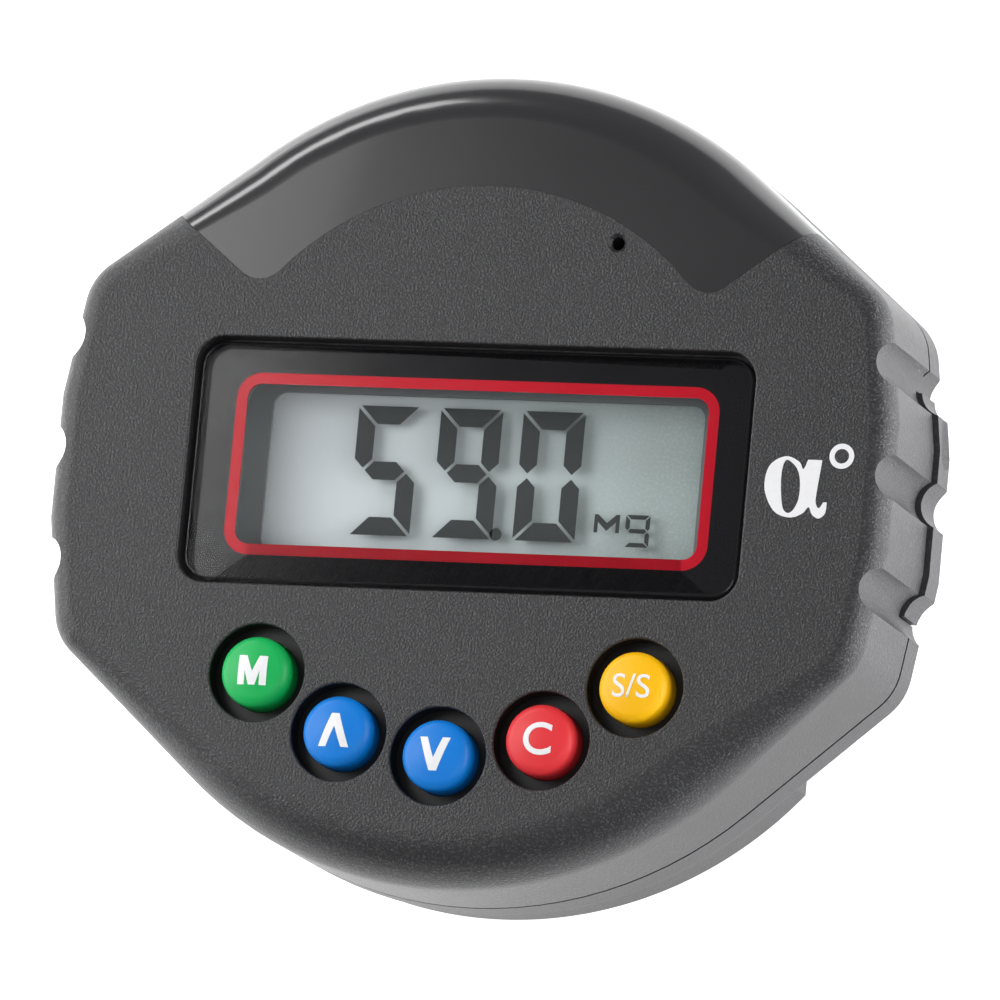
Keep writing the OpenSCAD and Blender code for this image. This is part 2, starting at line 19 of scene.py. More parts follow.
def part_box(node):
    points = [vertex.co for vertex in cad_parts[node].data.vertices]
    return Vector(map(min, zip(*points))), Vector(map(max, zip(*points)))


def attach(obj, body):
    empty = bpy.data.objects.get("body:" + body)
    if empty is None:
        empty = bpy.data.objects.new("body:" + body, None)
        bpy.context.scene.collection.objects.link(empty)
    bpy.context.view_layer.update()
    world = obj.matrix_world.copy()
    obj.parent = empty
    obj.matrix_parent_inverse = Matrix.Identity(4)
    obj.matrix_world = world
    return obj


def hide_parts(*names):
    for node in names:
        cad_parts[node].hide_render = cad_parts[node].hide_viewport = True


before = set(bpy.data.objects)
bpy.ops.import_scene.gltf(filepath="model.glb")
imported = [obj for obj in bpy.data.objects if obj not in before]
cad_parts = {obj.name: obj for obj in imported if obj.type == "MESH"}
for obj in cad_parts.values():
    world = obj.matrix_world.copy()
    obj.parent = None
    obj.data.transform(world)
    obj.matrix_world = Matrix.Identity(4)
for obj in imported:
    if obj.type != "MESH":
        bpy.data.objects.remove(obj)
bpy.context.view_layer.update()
LOG = logging.getLogger("gauge")
MM = 0.001
KEY_NAMES = ("memory", "up", "down", "clear", "start")
# Angle in degrees between two faces from which their edge counts as sharp.
SHARP = 40.0
# Angle in degrees up to which the faces of a moulding are shaded as one.
ROUND = 32.0
# Angle in degrees up to which the faces of a solid are joined to one flat face.
FLAT = 0.4
# Upward share of a unit normal from which a face counts as level.
FACING = 0.9
# Distance in metres within which two points count as one.
CLOSE = 2e-6


class Body(Enum):
    """The rigid bodies of the gauge that a piece can ride on."""

    CASING = "casing"
    MEMORY = "memory_key"
    UP = "up_key"
    DOWN = "down_key"
    CLEAR = "clear_key"
    START = "start_key"
    DRAWER = "drawer"


class Mark(Enum):
    """What is printed on a key cap."""

    MEMORY = "M"
    UP = "up"
    DOWN = "down"
    CLEAR = "C"
    START = "S/S"


class Element(Enum):
    """The elements of a mesh that can be picked."""

    FACE = "faces"
    EDGE = "edges"


# Colours and nodes


def linear(code: str) -> tuple[float, float, float, float]:
    """Turns an sRGB hex colour into linear values.

    Args:
        code: Colour such as "#1a2b3c".

    Returns:
        Linear red, green, blue and an alpha of 1.
    """
    parts = [int(code[k : k + 2], 16) / 255 for k in (1, 3, 5)]
    out = [c / 12.92 if c <= 0.04045 else ((c + 0.055) / 1.055) ** 2.4 for c in parts]
    return (out[0], out[1], out[2], 1.0)


def add_node(
    tree: bpy.types.NodeTree, kind: str, settings: dict | None = None, links: dict | None = None
) -> bpy.types.Node:
    """Adds a shader node, sets it up and links its inputs.

    Args:
        tree: Node tree that takes the node.
        kind: Blender's name of the node type.
        settings: Input names or numbers and attribute names with their values.
        links: Input names or numbers with the output sockets that feed them.

    Returns:
        The new node.
    """
    made = tree.nodes.new(kind)
    for key, value in (settings or {}).items():
        if isinstance(key, int) or key in made.inputs:
            made.inputs[key].default_value = value
        else:
            setattr(made, key, value)
    for key, socket in (links or {}).items():
        tree.links.new(socket, made.inputs[key])
    return made


def per_mm(size: float) -> float:
    """Noise scale whose pattern repeats about once in that many millimetres."""
    return 1.0 / (size * MM)


@dataclass(frozen=True)
class Finish:
    """A surface with a fine grain and a slow change of tone.

    Attributes:
        name: Material and process.
        light: Lighter sRGB colour of the tone.
        dark: Darker sRGB colour of the tone.
        rough: Mean roughness.
        rough_span: How far the roughness wanders.
        tone_mm: Size of the tone patches.
        grain_mm: Size of the surface grain.
        grain_deep: Height of the grain in millimetres.
        grain_force: Strength of the grain in the shading.
        metal: Metallic share.
        ior: Index of refraction of a dielectric.
        coat: Weight of a clear coat.
        coat_rough: Roughness of that coat.
        alpha: Opacity, below 1 for thin clear sheet.
    """

    name: str
    light: str
    dark: str
    rough: float = 0.5
    rough_span: float = 0.06
    tone_mm: float = 6.0
    grain_mm: float = 0.4
    grain_deep: float = 0.0
    grain_force: float = 0.0
    metal: float = 0.0
    ior: float = 1.5
    coat: float = 0.0
    coat_rough: float = 0.06
    alpha: float = 1.0

    def material(self) -> bpy.types.Material:
        """Builds the material, or finds the one already built.

        Returns:
            The material.
        """
        if self.name in bpy.data.materials:
            return bpy.data.materials[self.name]
        made = bpy.data.materials.new(self.name)
        made.use_nodes = True
        tree = made.node_tree
        shader = tree.nodes["Principled BSDF"]
        shader.inputs["Metallic"].default_value = self.metal
        if not self.metal:
            shader.inputs["IOR"].default_value = self.ior
        shader.inputs["Coat Weight"].default_value = self.coat
        shader.inputs["Coat Roughness"].default_value = self.coat_rough
        shader.inputs["Alpha"].default_value = self.alpha
        place = add_node(tree, "ShaderNodeTexCoord").outputs["Object"]
        patches = add_node(
            tree, "ShaderNodeTexNoise",
            {"Scale": per_mm(self.tone_mm), "Detail": 3.0, "Roughness": 0.55}, {"Vector": place},
        )
        tone = add_node(
            tree, "ShaderNodeMix",
            {"data_type": "RGBA", 6: linear(self.dark), 7: linear(self.light)},
            {0: patches.outputs["Fac"]},
        )
        self.colour(tree, shader, place, tone.outputs[2])
        wander = add_node(
            tree, "ShaderNodeMapRange",
            {"To Min": self.rough - self.rough_span, "To Max": self.rough + self.rough_span},
            {"Value": patches.outputs["Fac"]},
        )
        tree.links.new(wander.outputs["Result"], shader.inputs["Roughness"])
        if self.grain_force:
            grain = add_node(
                tree, "ShaderNodeTexNoise",
                {"Scale": per_mm(self.grain_mm), "Detail": 2.0, "Roughness": 0.6}, {"Vector": place},
            )
            bump = add_node(
                tree, "ShaderNodeBump",
                {"Strength": self.grain_force, "Distance": self.grain_deep * MM},
                {"Height": grain.outputs["Fac"]},
            )
            tree.links.new(bump.outputs["Normal"], shader.inputs["Normal"])
        return made

    def colour(
        self,
        tree: bpy.types.NodeTree,
        shader: bpy.types.Node,
        place: bpy.types.NodeSocket,
        tone: bpy.types.NodeSocket,
    ) -> None:
        """Links the tone to the base colour.

        Args:
            tree: Node tree of the material.
            shader: The surface shader.
            place: Object coordinates.
            tone: The slow change of tone.
        """
        tree.links.new(tone, shader.inputs["Base Color"])


@dataclass(frozen=True)
class SparkedFinish(Finish):
    """A moulded surface from a spark-eroded tool, with specks on the peaks of its grain; pale specks there
    are painted glints.

    Attributes:
        speck: sRGB colour of the specks.
        speck_from: Grain height where specks begin.
        speck_span: How much higher the grain is where they are full.
        speck_share: How far a full speck covers the tone.
    """

    speck: str = "#707072"
    speck_from: float = 0.45
    speck_span: float = 0.3
    speck_share: float = 0.8

    def colour(
        self,
        tree: bpy.types.NodeTree,
        shader: bpy.types.Node,
        place: bpy.types.NodeSocket,
        tone: bpy.types.NodeSocket,
    ) -> None:
        """Mixes specks on the grain peaks into the tone; pale ones are a painted highlight standing in for
        glints.

        Args:
            tree: Node tree of the material.
            shader: The surface shader.
            place: Object coordinates.
            tone: The slow change of tone.
        """
        grain = add_node(
            tree, "ShaderNodeTexNoise",
            {"Scale": per_mm(self.grain_mm), "Detail": 2.0, "Roughness": 0.6}, {"Vector": place},
        )
        tips = add_node(
            tree, "ShaderNodeMapRange",
            {
                "From Min": self.speck_from, "From Max": self.speck_from + self.speck_span,
                "To Max": self.speck_share,
            },
            {"Value": grain.outputs["Fac"]},
        )
        mixed = add_node(
            tree, "ShaderNodeMix", {"data_type": "RGBA", 7: linear(self.speck)},
            {0: tips.outputs["Result"], 6: tone},
        )
        tree.links.new(mixed.outputs[2], shader.inputs["Base Color"])


@dataclass(frozen=True)
class PaintedShadeFinish(SparkedFinish):
    """A liquid crystal cell painted lighter at its left end than at its right, as painted light and shade.

    Attributes:
        fade: sRGB colour of the painted shade at the right end.
        fade_from: Place along X where the fade begins in millimetres.
        fade_to: Place along X where the fade ends in millimetres.
    """

    fade: str = "#b6c6c4"
    fade_from: float = -18.0
    fade_to: float = 22.0

    def colour(
        self,
        tree: bpy.types.NodeTree,
        shader: bpy.types.Node,
        place: bpy.types.NodeSocket,
        tone: bpy.types.NodeSocket,
    ) -> None:
        """Paints shade into the tone from left to right, below the specks.

        Args:
            tree: Node tree of the material.
            shader: The surface shader.
            place: Object coordinates.
            tone: The slow change of tone.
        """
        across = add_node(tree, "ShaderNodeSeparateXYZ", links={0: place})
        share = add_node(
            tree, "ShaderNodeMapRange",
            {"From Min": self.fade_from * MM, "From Max": self.fade_to * MM},
            {"Value": across.outputs["X"]},
        )
        shaded_tone = add_node(
            tree, "ShaderNodeMix", {"data_type": "RGBA", 7: linear(self.fade)},
            {0: share.outputs["Result"], 6: tone},
        )
        super().colour(tree, shader, place, shaded_tone.outputs[2])


@dataclass(frozen=True)
class KeyFinish(Finish):
    """A smooth moulded key cap with a soft satin gloss."""

    rough: float = 0.44
    tone_mm: float = 4
    grain_mm: float = 0.5
    grain_deep: float = 0.01
    grain_force: float = 0.05
    ior: float = 1.4
    coat: float = 0.02


# Moulded ABS from a spark-eroded tool: charcoal and dull, with a fine grain whose peaks carry pale specks as
# painted glints.
# The real grain is near 0.1 mm; it is drawn at 0.21 mm so that it shows.
CASE_ABS = SparkedFinish(
    "abs_charcoal_spark_eroded", "#272729", "#222224", rough=0.35, rough_span=0.04, tone_mm=14,
    grain_mm=0.21, grain_deep=0.09, grain_force=1.0, ior=1.48, speck="#5e5e60", speck_from=0.51,
)
# Same ABS on the rear half and the drawer: a little duller, with a coarser grain and fainter pale specks as
# painted glints.
# Its colour is a shade lighter than the front's: painted light, for the light thrown up onto the rear from
# below.
REAR_ABS = SparkedFinish(
    "abs_charcoal_rear_moulding", "#2e2e30", "#29292b", rough=0.42, rough_span=0.04, tone_mm=14,
    grain_mm=0.26, grain_deep=0.08, grain_force=0.9, ior=1.55, speck="#464648",
)
# The key wells: the same ABS with little grain, painted near black for the shade that falls into these deep
# recesses.
WELL_SHADE_ABS = Finish(
    "abs_charcoal_machined_well", "#151516", "#101011", rough=0.4, rough_span=0.03, tone_mm=3,
    grain_mm=0.5, grain_deep=0.01, grain_force=0.1, ior=1.4,
)
# Polished smoked polycarbonate: dark and glossy, the lamps behind it only show when lit.
LENS_PC = Finish(
    "polycarbonate_smoked_polished", "#29292b", "#212123", rough=0.2, rough_span=0.03, tone_mm=18,
    ior=1.585, coat=0.25,
)
# Cast acrylic sheet, thin and clear: only its gloss is seen.
# Its IOR is above that of acrylic, so that the gloss still shows at so low an opacity.
WINDOW_PMMA = Finish(
    "acrylic_clear_sheet", "#0c0c0e", "#08080a", rough=0.07, rough_span=0.01, tone_mm=30,
    ior=1.9, alpha=0.03,
)
# Polished edge of the acrylic sheet: dark, with a bright line where it turns.
EDGE_PMMA = Finish(
    "acrylic_polished_edge", "#141417", "#0f0f12", rough=0.12, rough_span=0.02, tone_mm=10,
    ior=1.6, alpha=0.75,
)
# Screen print bonded to the back of the window: black, with the sheet's gloss over it.
PRINT_BLACK = Finish(
    "screen_print_black", "#101014", "#0c0c10", rough=0.14, rough_span=0.02, tone_mm=9, ior=1.49,
)
# Screen print bonded to the back of the window, signal red.
PRINT_RED = Finish(
    "screen_print_signal_red", "#c40a25", "#b90820", rough=0.2, rough_span=0.02, tone_mm=7, ior=1.4,
)
# Pad print on the casing, off-white with a slightly worn edge.
PRINT_WHITE = Finish(
    "pad_print_off_white", "#f0f0f2", "#e6e6e9", rough=0.48, tone_mm=0.5, grain_mm=0.2,
    grain_deep=0.01, grain_force=0.12,
)
# Diffusing reflector behind the liquid crystal: pale, cool and finely speckled, with painted shade that
# darkens it from left to right.
PANEL_GREY = PaintedShadeFinish(
    "liquid_crystal_reflector", "#f2fafd", "#e8f2f6", rough=0.5, tone_mm=16, grain_mm=0.24,
    grain_deep=0.01, grain_force=0.08, ior=1.2, speck="#dde7ea", speck_from=0.5,
)
# Glass of the liquid crystal cell: nearly unseen, a faint gloss.
PANEL_GLASS = Finish(
    "soda_glass_polariser", "#1a1c1b", "#161817", rough=0.12, rough_span=0.02, tone_mm=20,
    ior=1.52, alpha=0.02,
)
# Switched liquid crystal: dark grey, no gloss.
SEGMENT_DARK = Finish(
    "liquid_crystal_segment", "#474b4b", "#3f4444", rough=0.6, tone_mm=3, ior=1.2,
)
# Moulded frame round the cell. Its grey is set so that its inner wall beside the cell reads as the cell's
# shaded margin: painted shade.
FRAME_ABS = Finish(
    "abs_grey_frame", "#7c8284", "#747a7c", rough=0.6, grain_mm=0.4, grain_deep=0.03,
    grain_force=0.2, ior=1.3,
)
# Conductive rubber strips.
STRIP_RUBBER = Finish("silicone_rubber_carbon", "#1d1d1e", "#161617", rough=0.75, tone_mm=1.0)
# Epoxy glass board under solder resist.
BOARD_GREEN = Finish(
    "epoxy_board_solder_resist", "#145c33", "#0f4a29", rough=0.35, tone_mm=2.0, coat=0.2,
)
# Moulded ABS key caps, dyed through.
KEY_GREEN = KeyFinish("abs_key_cap_green", "#10b45a", "#0ca852")
KEY_BLUE = KeyFinish("abs_key_cap_blue", "#007cd8", "#0073cc")
KEY_RED = KeyFinish("abs_key_cap_red", "#e2353b", "#d92e34")
KEY_YELLOW = KeyFinish("abs_key_cap_yellow", "#fcc000", "#f7b600")
# Moulded acetal plungers, nylon switch bodies and the polyester case of the sounder: black and satin.
PLUNGER_POM = Finish("acetal_black_plunger", "#1c1c1d", "#161617", rough=0.4, tone_mm=2)
SWITCH_PA = Finish("nylon_switch_body", "#26262a", "#1e1e21", rough=0.5, tone_mm=2)
SOUNDER_PBT = Finish("polyester_sounder_case", "#1a1a1b", "#141415", rough=0.42, tone_mm=2)
# Cast epoxy of the signal lamps: milky, to spread their light.
LAMP_EPOXY = Finish("epoxy_lamp_diffused", "#f0efe0", "#e2e0cc", rough=0.3, tone_mm=1)
# Drawn steel sensor can.
SENSOR_STEEL = Finish("steel_can_drawn", "#b9bbbe", "#a6a8ab", rough=0.32, tone_mm=3, metal=1.0)
# Moulded epoxy chip package: dull black.
CHIP_EPOXY = Finish("epoxy_chip_package", "#1f1f21", "#18181a", rough=0.6, tone_mm=1)
# Nickel-plated drawn steel of the coin cell: bright, slightly handled.
CELL_STEEL = Finish(
    "steel_cell_nickel_plated", "#dfe0df", "#d0d1d0", rough=0.3, tone_mm=3, metal=1.0,
    grain_mm=0.6, grain_deep=0.005, grain_force=0.06,
)
# Phosphor bronze contact springs.
CONTACT_BRONZE = Finish("phosphor_bronze_spring", "#d0a867", "#bd9353", rough=0.3, metal=1.0)
# Nickel plate over pressed magnets.
MAGNET_NICKEL = Finish(
    "magnet_nickel_plated", "#c4c5c8", "#aeb0b3", rough=0.3, tone_mm=2, metal=1.0, grain_mm=0.5,
    grain_deep=0.01, grain_force=0.1,
)
# Black-oxide screws in the casing and zinc-plated ones on the board.
SCREW_BLACK = Finish("steel_screw_black_oxide", "#3a3a3c", "#2e2e30", rough=0.36, metal=1.0)
SCREW_ZINC = Finish("steel_screw_zinc_plated", "#c2c6cb", "#aab0b6", rough=0.3, metal=1.0)

# CAD nodes that stay as they are, with the finish of each.
PLAIN_NODES: dict[str, Finish] = {
    "window_print": PRINT_BLACK,
    "window_line": PRINT_RED,
    "panel_frame": FRAME_ABS,
    "contact_strips": STRIP_RUBBER,
    "circuit_board": BOARD_GREEN,
    **{f"plunger_{name}": PLUNGER_POM for name in KEY_NAMES},
    "switch_bodies": SWITCH_PA,
    "sounder": SOUNDER_PBT,
    "signal_lamps": LAMP_EPOXY,
    "motion_sensor": SENSOR_STEEL,
    "controller_chip": CHIP_EPOXY,
    "contact_upper": CONTACT_BRONZE,
    "contact_lower": CONTACT_BRONZE,
    "magnets": MAGNET_NICKEL,
    "casing_screws": SCREW_BLACK,
    "board_screws": SCREW_ZINC,
}


# Modelling by hand


def only(obj: bpy.types.Object) -> None:
    """Makes one object the selected and active one.

    Args:
        obj: The object.
    """
    bpy.ops.object.select_all(action="DESELECT")
    obj.select_set(True)
    bpy.context.view_layer.objects.active = obj


@contextmanager
def editing(obj: bpy.types.Object) -> Iterator[None]:
    """Opens an object in edit mode with nothing selected, and closes it again.

    Args:
        obj: The object.

    Yields:
        Nothing.
    """
    only(obj)
    bpy.ops.object.mode_set(mode="EDIT")
    bpy.ops.mesh.select_all(action="DESELECT")
    yield
    bpy.ops.object.mode_set(mode="OBJECT")


def start(name: str, operator: Callable[..., set[str]], **settings: object) -> bpy.types.Object:
    """Adds a primitive with nothing else selected, and names it.

    Args:
        name: Name of the new object.
        operator: Blender's add operator.
        **settings: What the operator is given.

    Returns:
        The new object.
    """
    bpy.ops.object.select_all(action="DESELECT")
    operator(**settings)
    obj = bpy.context.active_object
    obj.name = name
    obj.data.name = name
    return obj


def pick(obj: bpy.types.Object, kind: Element, test: Callable[..., bool]) -> int:
    """Selects the elements of the mesh in edit mode that pass a test.

    Args:
        obj: Object in edit mode.
        kind: Kind of element.
        test: Takes an element and says whether it is wanted.

    Returns:
        How many were selected.
    """
    bpy.ops.mesh.select_mode(type=kind.name)
    bpy.ops.mesh.select_all(action="DESELECT")
    mesh = bmesh.from_edit_mesh(obj.data)
    mesh.normal_update()
    wanted = [element for element in getattr(mesh, kind.value) if test(element)]
    for element in wanted:
        element.select_set(True)
    bmesh.update_edit_mesh(obj.data)
    return len(wanted)


def draw_out(obj: bpy.types.Object, corners: list[tuple[float, float]], z: float) -> None:
    """Draws the points of a circle in edit mode out to the corners of a flat shape.

    Args:
        obj: The circle.
        corners: Corners in millimetres, in turn.
        z: Height of the shape in metres.
    """
    mesh = bmesh.from_edit_mesh(obj.data)
    mesh.verts.ensure_lookup_table()
    for vert, (x, y) in zip(mesh.verts, corners, strict=True):
        vert.co = (x * MM, y * MM, z)
    bmesh.update_edit_mesh(obj.data)


def thicken(height: float) -> None:
    """Draws a flat shape in edit mode up into a closed plate.

    Args:
        height: Height of the plate in metres.
    """
    bpy.ops.mesh.select_all(action="SELECT")
    bpy.ops.mesh.extrude_region_move(TRANSFORM_OT_translate={"value": (0, 0, height)})
    bpy.ops.mesh.select_all(action="SELECT")
    bpy.ops.mesh.normals_make_consistent(inside=False)


def crease(edge: bmesh.types.BMEdge) -> float:
    """Angle between the two faces of an edge in degrees, or 0 at a border."""
    return math.degrees(edge.calc_face_angle(0.0))


def level(edge: bmesh.types.BMEdge, z: float) -> bool:
    """Says whether both ends of an edge lie at height z."""
    return all(abs(v.co.z - z) < CLOSE for v in edge.verts)


def reach(point: Vector, middle: Vector) -> float:
    """Distance of a point from a middle, seen from above."""
    return math.hypot(point.x - middle.x, point.y - middle.y)


def smooth(obj: bpy.types.Object, angle: float) -> None:
    """Shades obj smooth where faces meet at less than an angle in degrees."""
    only(obj)
    bpy.ops.object.shade_smooth_by_angle(angle=math.radians(angle))


def apply_modifier(obj: bpy.types.Object, kind: str, settings: dict) -> None:
    """Adds a modifier, sets it up and applies it.

    Args:
        obj: Object that takes it.
        kind: Blender's name of the modifier type.
        settings: Attribute names with their values.
    """
    only(obj)
    made = obj.modifiers.new(kind.lower(), kind)
    for key, value in settings.items():
        setattr(made, key, value)
    bpy.ops.object.modifier_apply(modifier=made.name)


def soften(
    obj: bpy.types.Object, width: float, test: Callable[[bmesh.types.BMEdge], bool], segments: int = 6
) -> None:
    """Rounds the edges that pass a test.

    Args:
        obj: Piece to work on.
        width: Width of the rounding in millimetres.
        test: Takes an edge and says whether it is wanted.
        segments: Steps of the rounding.
    """
    with editing(obj):
        count = pick(obj, Element.EDGE, test)
        if count:
            bpy.ops.mesh.bevel(offset=width * MM, segments=segments, affect="EDGES", clamp_overlap=True)
    LOG.info("%s: %d edges rounded by %.2f mm", obj.name, count, width)


def shade(obj: bpy.types.Object) -> None:
    """Shades a moulding smooth, with flat faces left flat."""
    smooth(obj, ROUND)
    apply_modifier(obj, "WEIGHTED_NORMAL", {"keep_sharp": True, "weight": 60})


def settle(obj: bpy.types.Object, finish: Finish, body: Body) -> bpy.types.Object:
    """Puts a finished piece at the origin, dresses it and sets it on its body.

    Args:
        obj: The piece.
        finish: Its finish.
        body: The body it rides on.

    Returns:
        The piece.
    """
    only(obj)
    bpy.ops.object.transform_apply(location=True, rotation=True, scale=True)
    obj.data.materials.clear()
    obj.data.materials.append(finish.material())
    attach(obj, body.value)
    LOG.info("%s: %d faces on %s", obj.name, len(obj.data.polygons), body.value)
    return obj


def cad_copy(node: str, name: str) -> bpy.types.Object:
    """Takes a merged copy of a CAD node that stands for it.

    Args:
        node: Name of the CAD node.
        name: Name of the copy.

    Returns:
        The copy, with flat faces joined.
    """
    obj = bpy.data.objects.new(name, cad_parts[node].data.copy())
    obj.data.name = name
    bpy.context.scene.collection.objects.link(obj)
    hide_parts(node)
    only(obj)
    if obj.data.has_custom_normals:
        bpy.ops.mesh.customdata_custom_splitnormals_clear()
    with editing(obj):
        bpy.ops.mesh.select_all(action="SELECT")
        bpy.ops.mesh.remove_doubles(threshold=CLOSE)
        bpy.ops.mesh.dissolve_limited(angle_limit=math.radians(FLAT))
    return obj


def low(node: str) -> Vector:
    """Lowest corner of a CAD node."""
    return Vector(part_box(node)[0])


def high(node: str) -> Vector:
    """Highest corner of a CAD node."""
    return Vector(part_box(node)[1])


def middle(node: str) -> Vector:
    """Middle of the box of a CAD node."""
    return (low(node) + high(node)) / 2


@dataclass
class Casing:
    """The two casing halves, with soft edges where the tool was rounded.

    Attributes:
        dish_soft: Rounding of the dish rims in millimetres.
        window_soft: Rounding of the window recess in millimetres.
        base_soft: Rounding of the upright corners of the base in millimetres.
        base_corner: Place of such a corner in millimetres.
        base_near: How close to that place its edges lie, in millimetres.
        base_crease: Least angle between the faces at such an edge, in degrees.
        hole_reach: Radius inside which an edge belongs to a key dish, in millimetres.
        well_from: Depth below the face where the painted shade of the key wells begins, in millimetres.
        groove_r: Radius of a grip groove in millimetres.
        groove_in: Depth of a grip groove in millimetres.
        groove_y: Height of the middle grip groove in millimetres.
        groove_pitch: Distance between grip grooves in millimetres.
        groove_soft: Rounding of the sides of the grooves in millimetres.
        groove_near: How close to a groove the ends of its side edges lie, in millimetres.
        groove_crease: Least angle between the faces at such an edge, in degrees.
        display_y: Height of the middle of the display in millimetres.
        grip_flat: Half height of the upright stretch of a grip in millimetres.
        grip_taper: How far a grip draws in for each millimetre beyond that stretch.
    """

    dish_soft: float = 0.8
    window_soft: float = 0.22
    base_soft: float = 1.2
    base_corner: tuple[float, float] = (29.25, 25.49)
    base_near: float = 1.5
    base_crease: float = 15.0
    hole_reach: float = 5.2
    well_from: float = 0.75
    groove_r: float = 2.3
    groove_in: float = 1.4
    groove_y: float = 1.3
    groove_pitch: float = 10.9
    groove_soft: float = 0.5
    groove_near: float = 0.03
    groove_crease: float = 18.0
    display_y: float = 0.5
    grip_flat: float = 6.0
    grip_taper: float = 1.7 / 11.4

    def build_front(self) -> None:
        """Builds and dresses the front half."""
        obj = cad_copy("front_casing", "casing_front_shell")
        face = high("front_casing").z
        keys = [middle(f"key_{name}") for name in KEY_NAMES]
        window = (low("display_window"), high("display_window"))

        def at_dish(edge: bmesh.types.BMEdge) -> bool:
            """Says whether an edge is on the rim of a key dish."""
            return level(edge, face) and crease(edge) > SHARP and any(
                reach(edge.verts[0].co, k) < self.hole_reach * MM for k in keys
            )

        def at_window(edge: bmesh.types.BMEdge) -> bool:
            """Says whether an edge is on the rim of the window recess."""
            point = edge.verts[0].co
            return level(edge, face) and crease(edge) > SHARP and (
                window[0].x - MM < point.x < window[1].x + MM
                and window[0].y - MM < point.y < window[1].y + MM
            )

        soften(obj, self.dish_soft, at_dish)
        soften(obj, self.window_soft, at_window)
        side = high("front_casing").x
        soften(obj, self.groove_soft, lambda e: self.at_groove(e, side))
        shade(obj)
        settle(obj, CASE_ABS, Body.CASING)
        self.paint_well_shade(obj, keys, face)

    def at_groove(self, edge: bmesh.types.BMEdge, side: float) -> bool:
        """Says whether an edge runs along the side of a grip groove.

        Args:
            edge: Edge to look at.
            side: Distance of the grips from the middle of the casing.

        Returns:
            True if both its ends lie on a groove and it is a crease.
        """
        for vert in edge.verts:
            step = round((vert.co.y / MM - self.groove_y) / self.groove_pitch)
            along = self.groove_y + step * self.groove_pitch
            drop = max(0.0, abs(along - self.display_y) - self.grip_flat) * self.grip_taper
            axis = side + (self.groove_r - self.groove_in - drop) * MM
            away = math.hypot(abs(vert.co.x) - axis, vert.co.y - along * MM)
            if abs(step) > 1 or abs(away - self.groove_r * MM) > self.groove_near * MM:
                return False
        return crease(edge) > self.groove_crease

    def paint_well_shade(self, obj: bpy.types.Object, keys: list[Vector], face: float) -> None:
        """Paints the deep part of each key well near black: painted shade.

        Args:
            obj: The front half.
            keys: Middles of the keys.
            face: Height of the face.
        """
        obj.data.materials.append(WELL_SHADE_ABS.material())
        for side in obj.data.polygons:
            at = side.center
            # Faces deep in a well take the near-black finish: painted shade.
            if at.z < face - self.well_from * MM and any(reach(at, k) < self.hole_reach * MM for k in keys):
                side.material_index = 1

    def at_base_corner(self, edge: bmesh.types.BMEdge) -> bool:
        """Says whether an edge runs up one of the four corners of the base.

        Args:
            edge: Edge to look at.

        Returns:
            True if it is a crease at a corner and rises by more than half its length.
        """
        places = [(abs(v.co.x) / MM, abs(v.co.y) / MM) for v in edge.verts]
        near = all(math.dist(place, self.base_corner) < self.base_near for place in places)
        rise = abs(edge.verts[0].co.z - edge.verts[1].co.z)
        return near and rise > 0.5 * edge.calc_length() and crease(edge) > self.base_crease

    def build_rear(self) -> None:
        """Builds and dresses the rear half."""
        obj = cad_copy("rear_casing", "casing_rear_shell")
        soften(obj, self.base_soft, self.at_base_corner)
        shade(obj)
        settle(obj, REAR_ABS, Body.CASING)

    def build(self) -> None:
        """Builds both halves."""
        self.build_front()
        self.build_rear()


@dataclass
class SignalLens:
    """The smoked lens over the signal lamps.

    Attributes:
        swell: How far the lens is pressed up to the casing round it, in millimetres.
        rim: Distance from the outline where its outer side begins, in millimetres.
        wall: Largest upward share of the normal of a face that counts as a wall.
    """

    swell: float = 0.08
    rim: float = 0.6
    wall: float = 0.2

    def build(self) -> None:
        """Builds and dresses the lens."""
        obj = cad_copy("signal_lens", "signal_lens_smoked")
        outer = high("signal_lens").y - self.rim * MM
        with editing(obj):
            pick(
                obj, Element.FACE,
                lambda f: abs(f.normal.z) < self.wall and f.calc_center_median().xy.length < outer,
            )
            bpy.ops.transform.shrink_fatten(value=self.swell * MM)
        shade(obj)
        settle(obj, LENS_PC, Body.CASING)


@dataclass(frozen=True)
class Figure:
    """Place and size of a seven-segment figure, all in millimetres.

    Attributes:
        x: Left end.
        y: Lower end.
        w: Width.
        h: Height.
        stroke: Stroke of a segment.
        gap: Gap between segments.
    """

    x: float
    y: float
    w: float
    h: float
    stroke: float
    gap: float

    def segments(self) -> dict[str, list[tuple[float, float]]]:
        """Works out the outlines of all segments.

        Returns:
            The corners of each segment, by its usual letter.
        """
        x, y, w, h, s, g = self.x, self.y, self.w, self.h, self.stroke, self.gap
        mid = y + h / 2
        top = [(x + g, y + h), (x + w - g, y + h), (x + w - s - g, y + h - s), (x + s + g, y + h - s)]
        left = [
            (x, y + h - g), (x + s, y + h - s - g), (x + s, mid + s / 2 + g), (x + s / 2, mid + g),
            (x, mid + s / 2 + g),
        ]
        bar = [
            (x + s / 2 + g, mid), (x + s + g, mid + s / 2), (x + w - s - g, mid + s / 2),
            (x + w - s / 2 - g, mid), (x + w - s - g, mid - s / 2), (x + s + g, mid - s / 2),
        ]
        return {
            "a": top,
            "d": [(px, 2 * mid - py) for px, py in top],
            "f": left,
            "e": [(px, 2 * mid - py) for px, py in left],
            "b": [(2 * x + w - px, py) for px, py in left],
            "c": [(2 * x + w - px, 2 * mid - py) for px, py in left],
            "g": bar,
        }


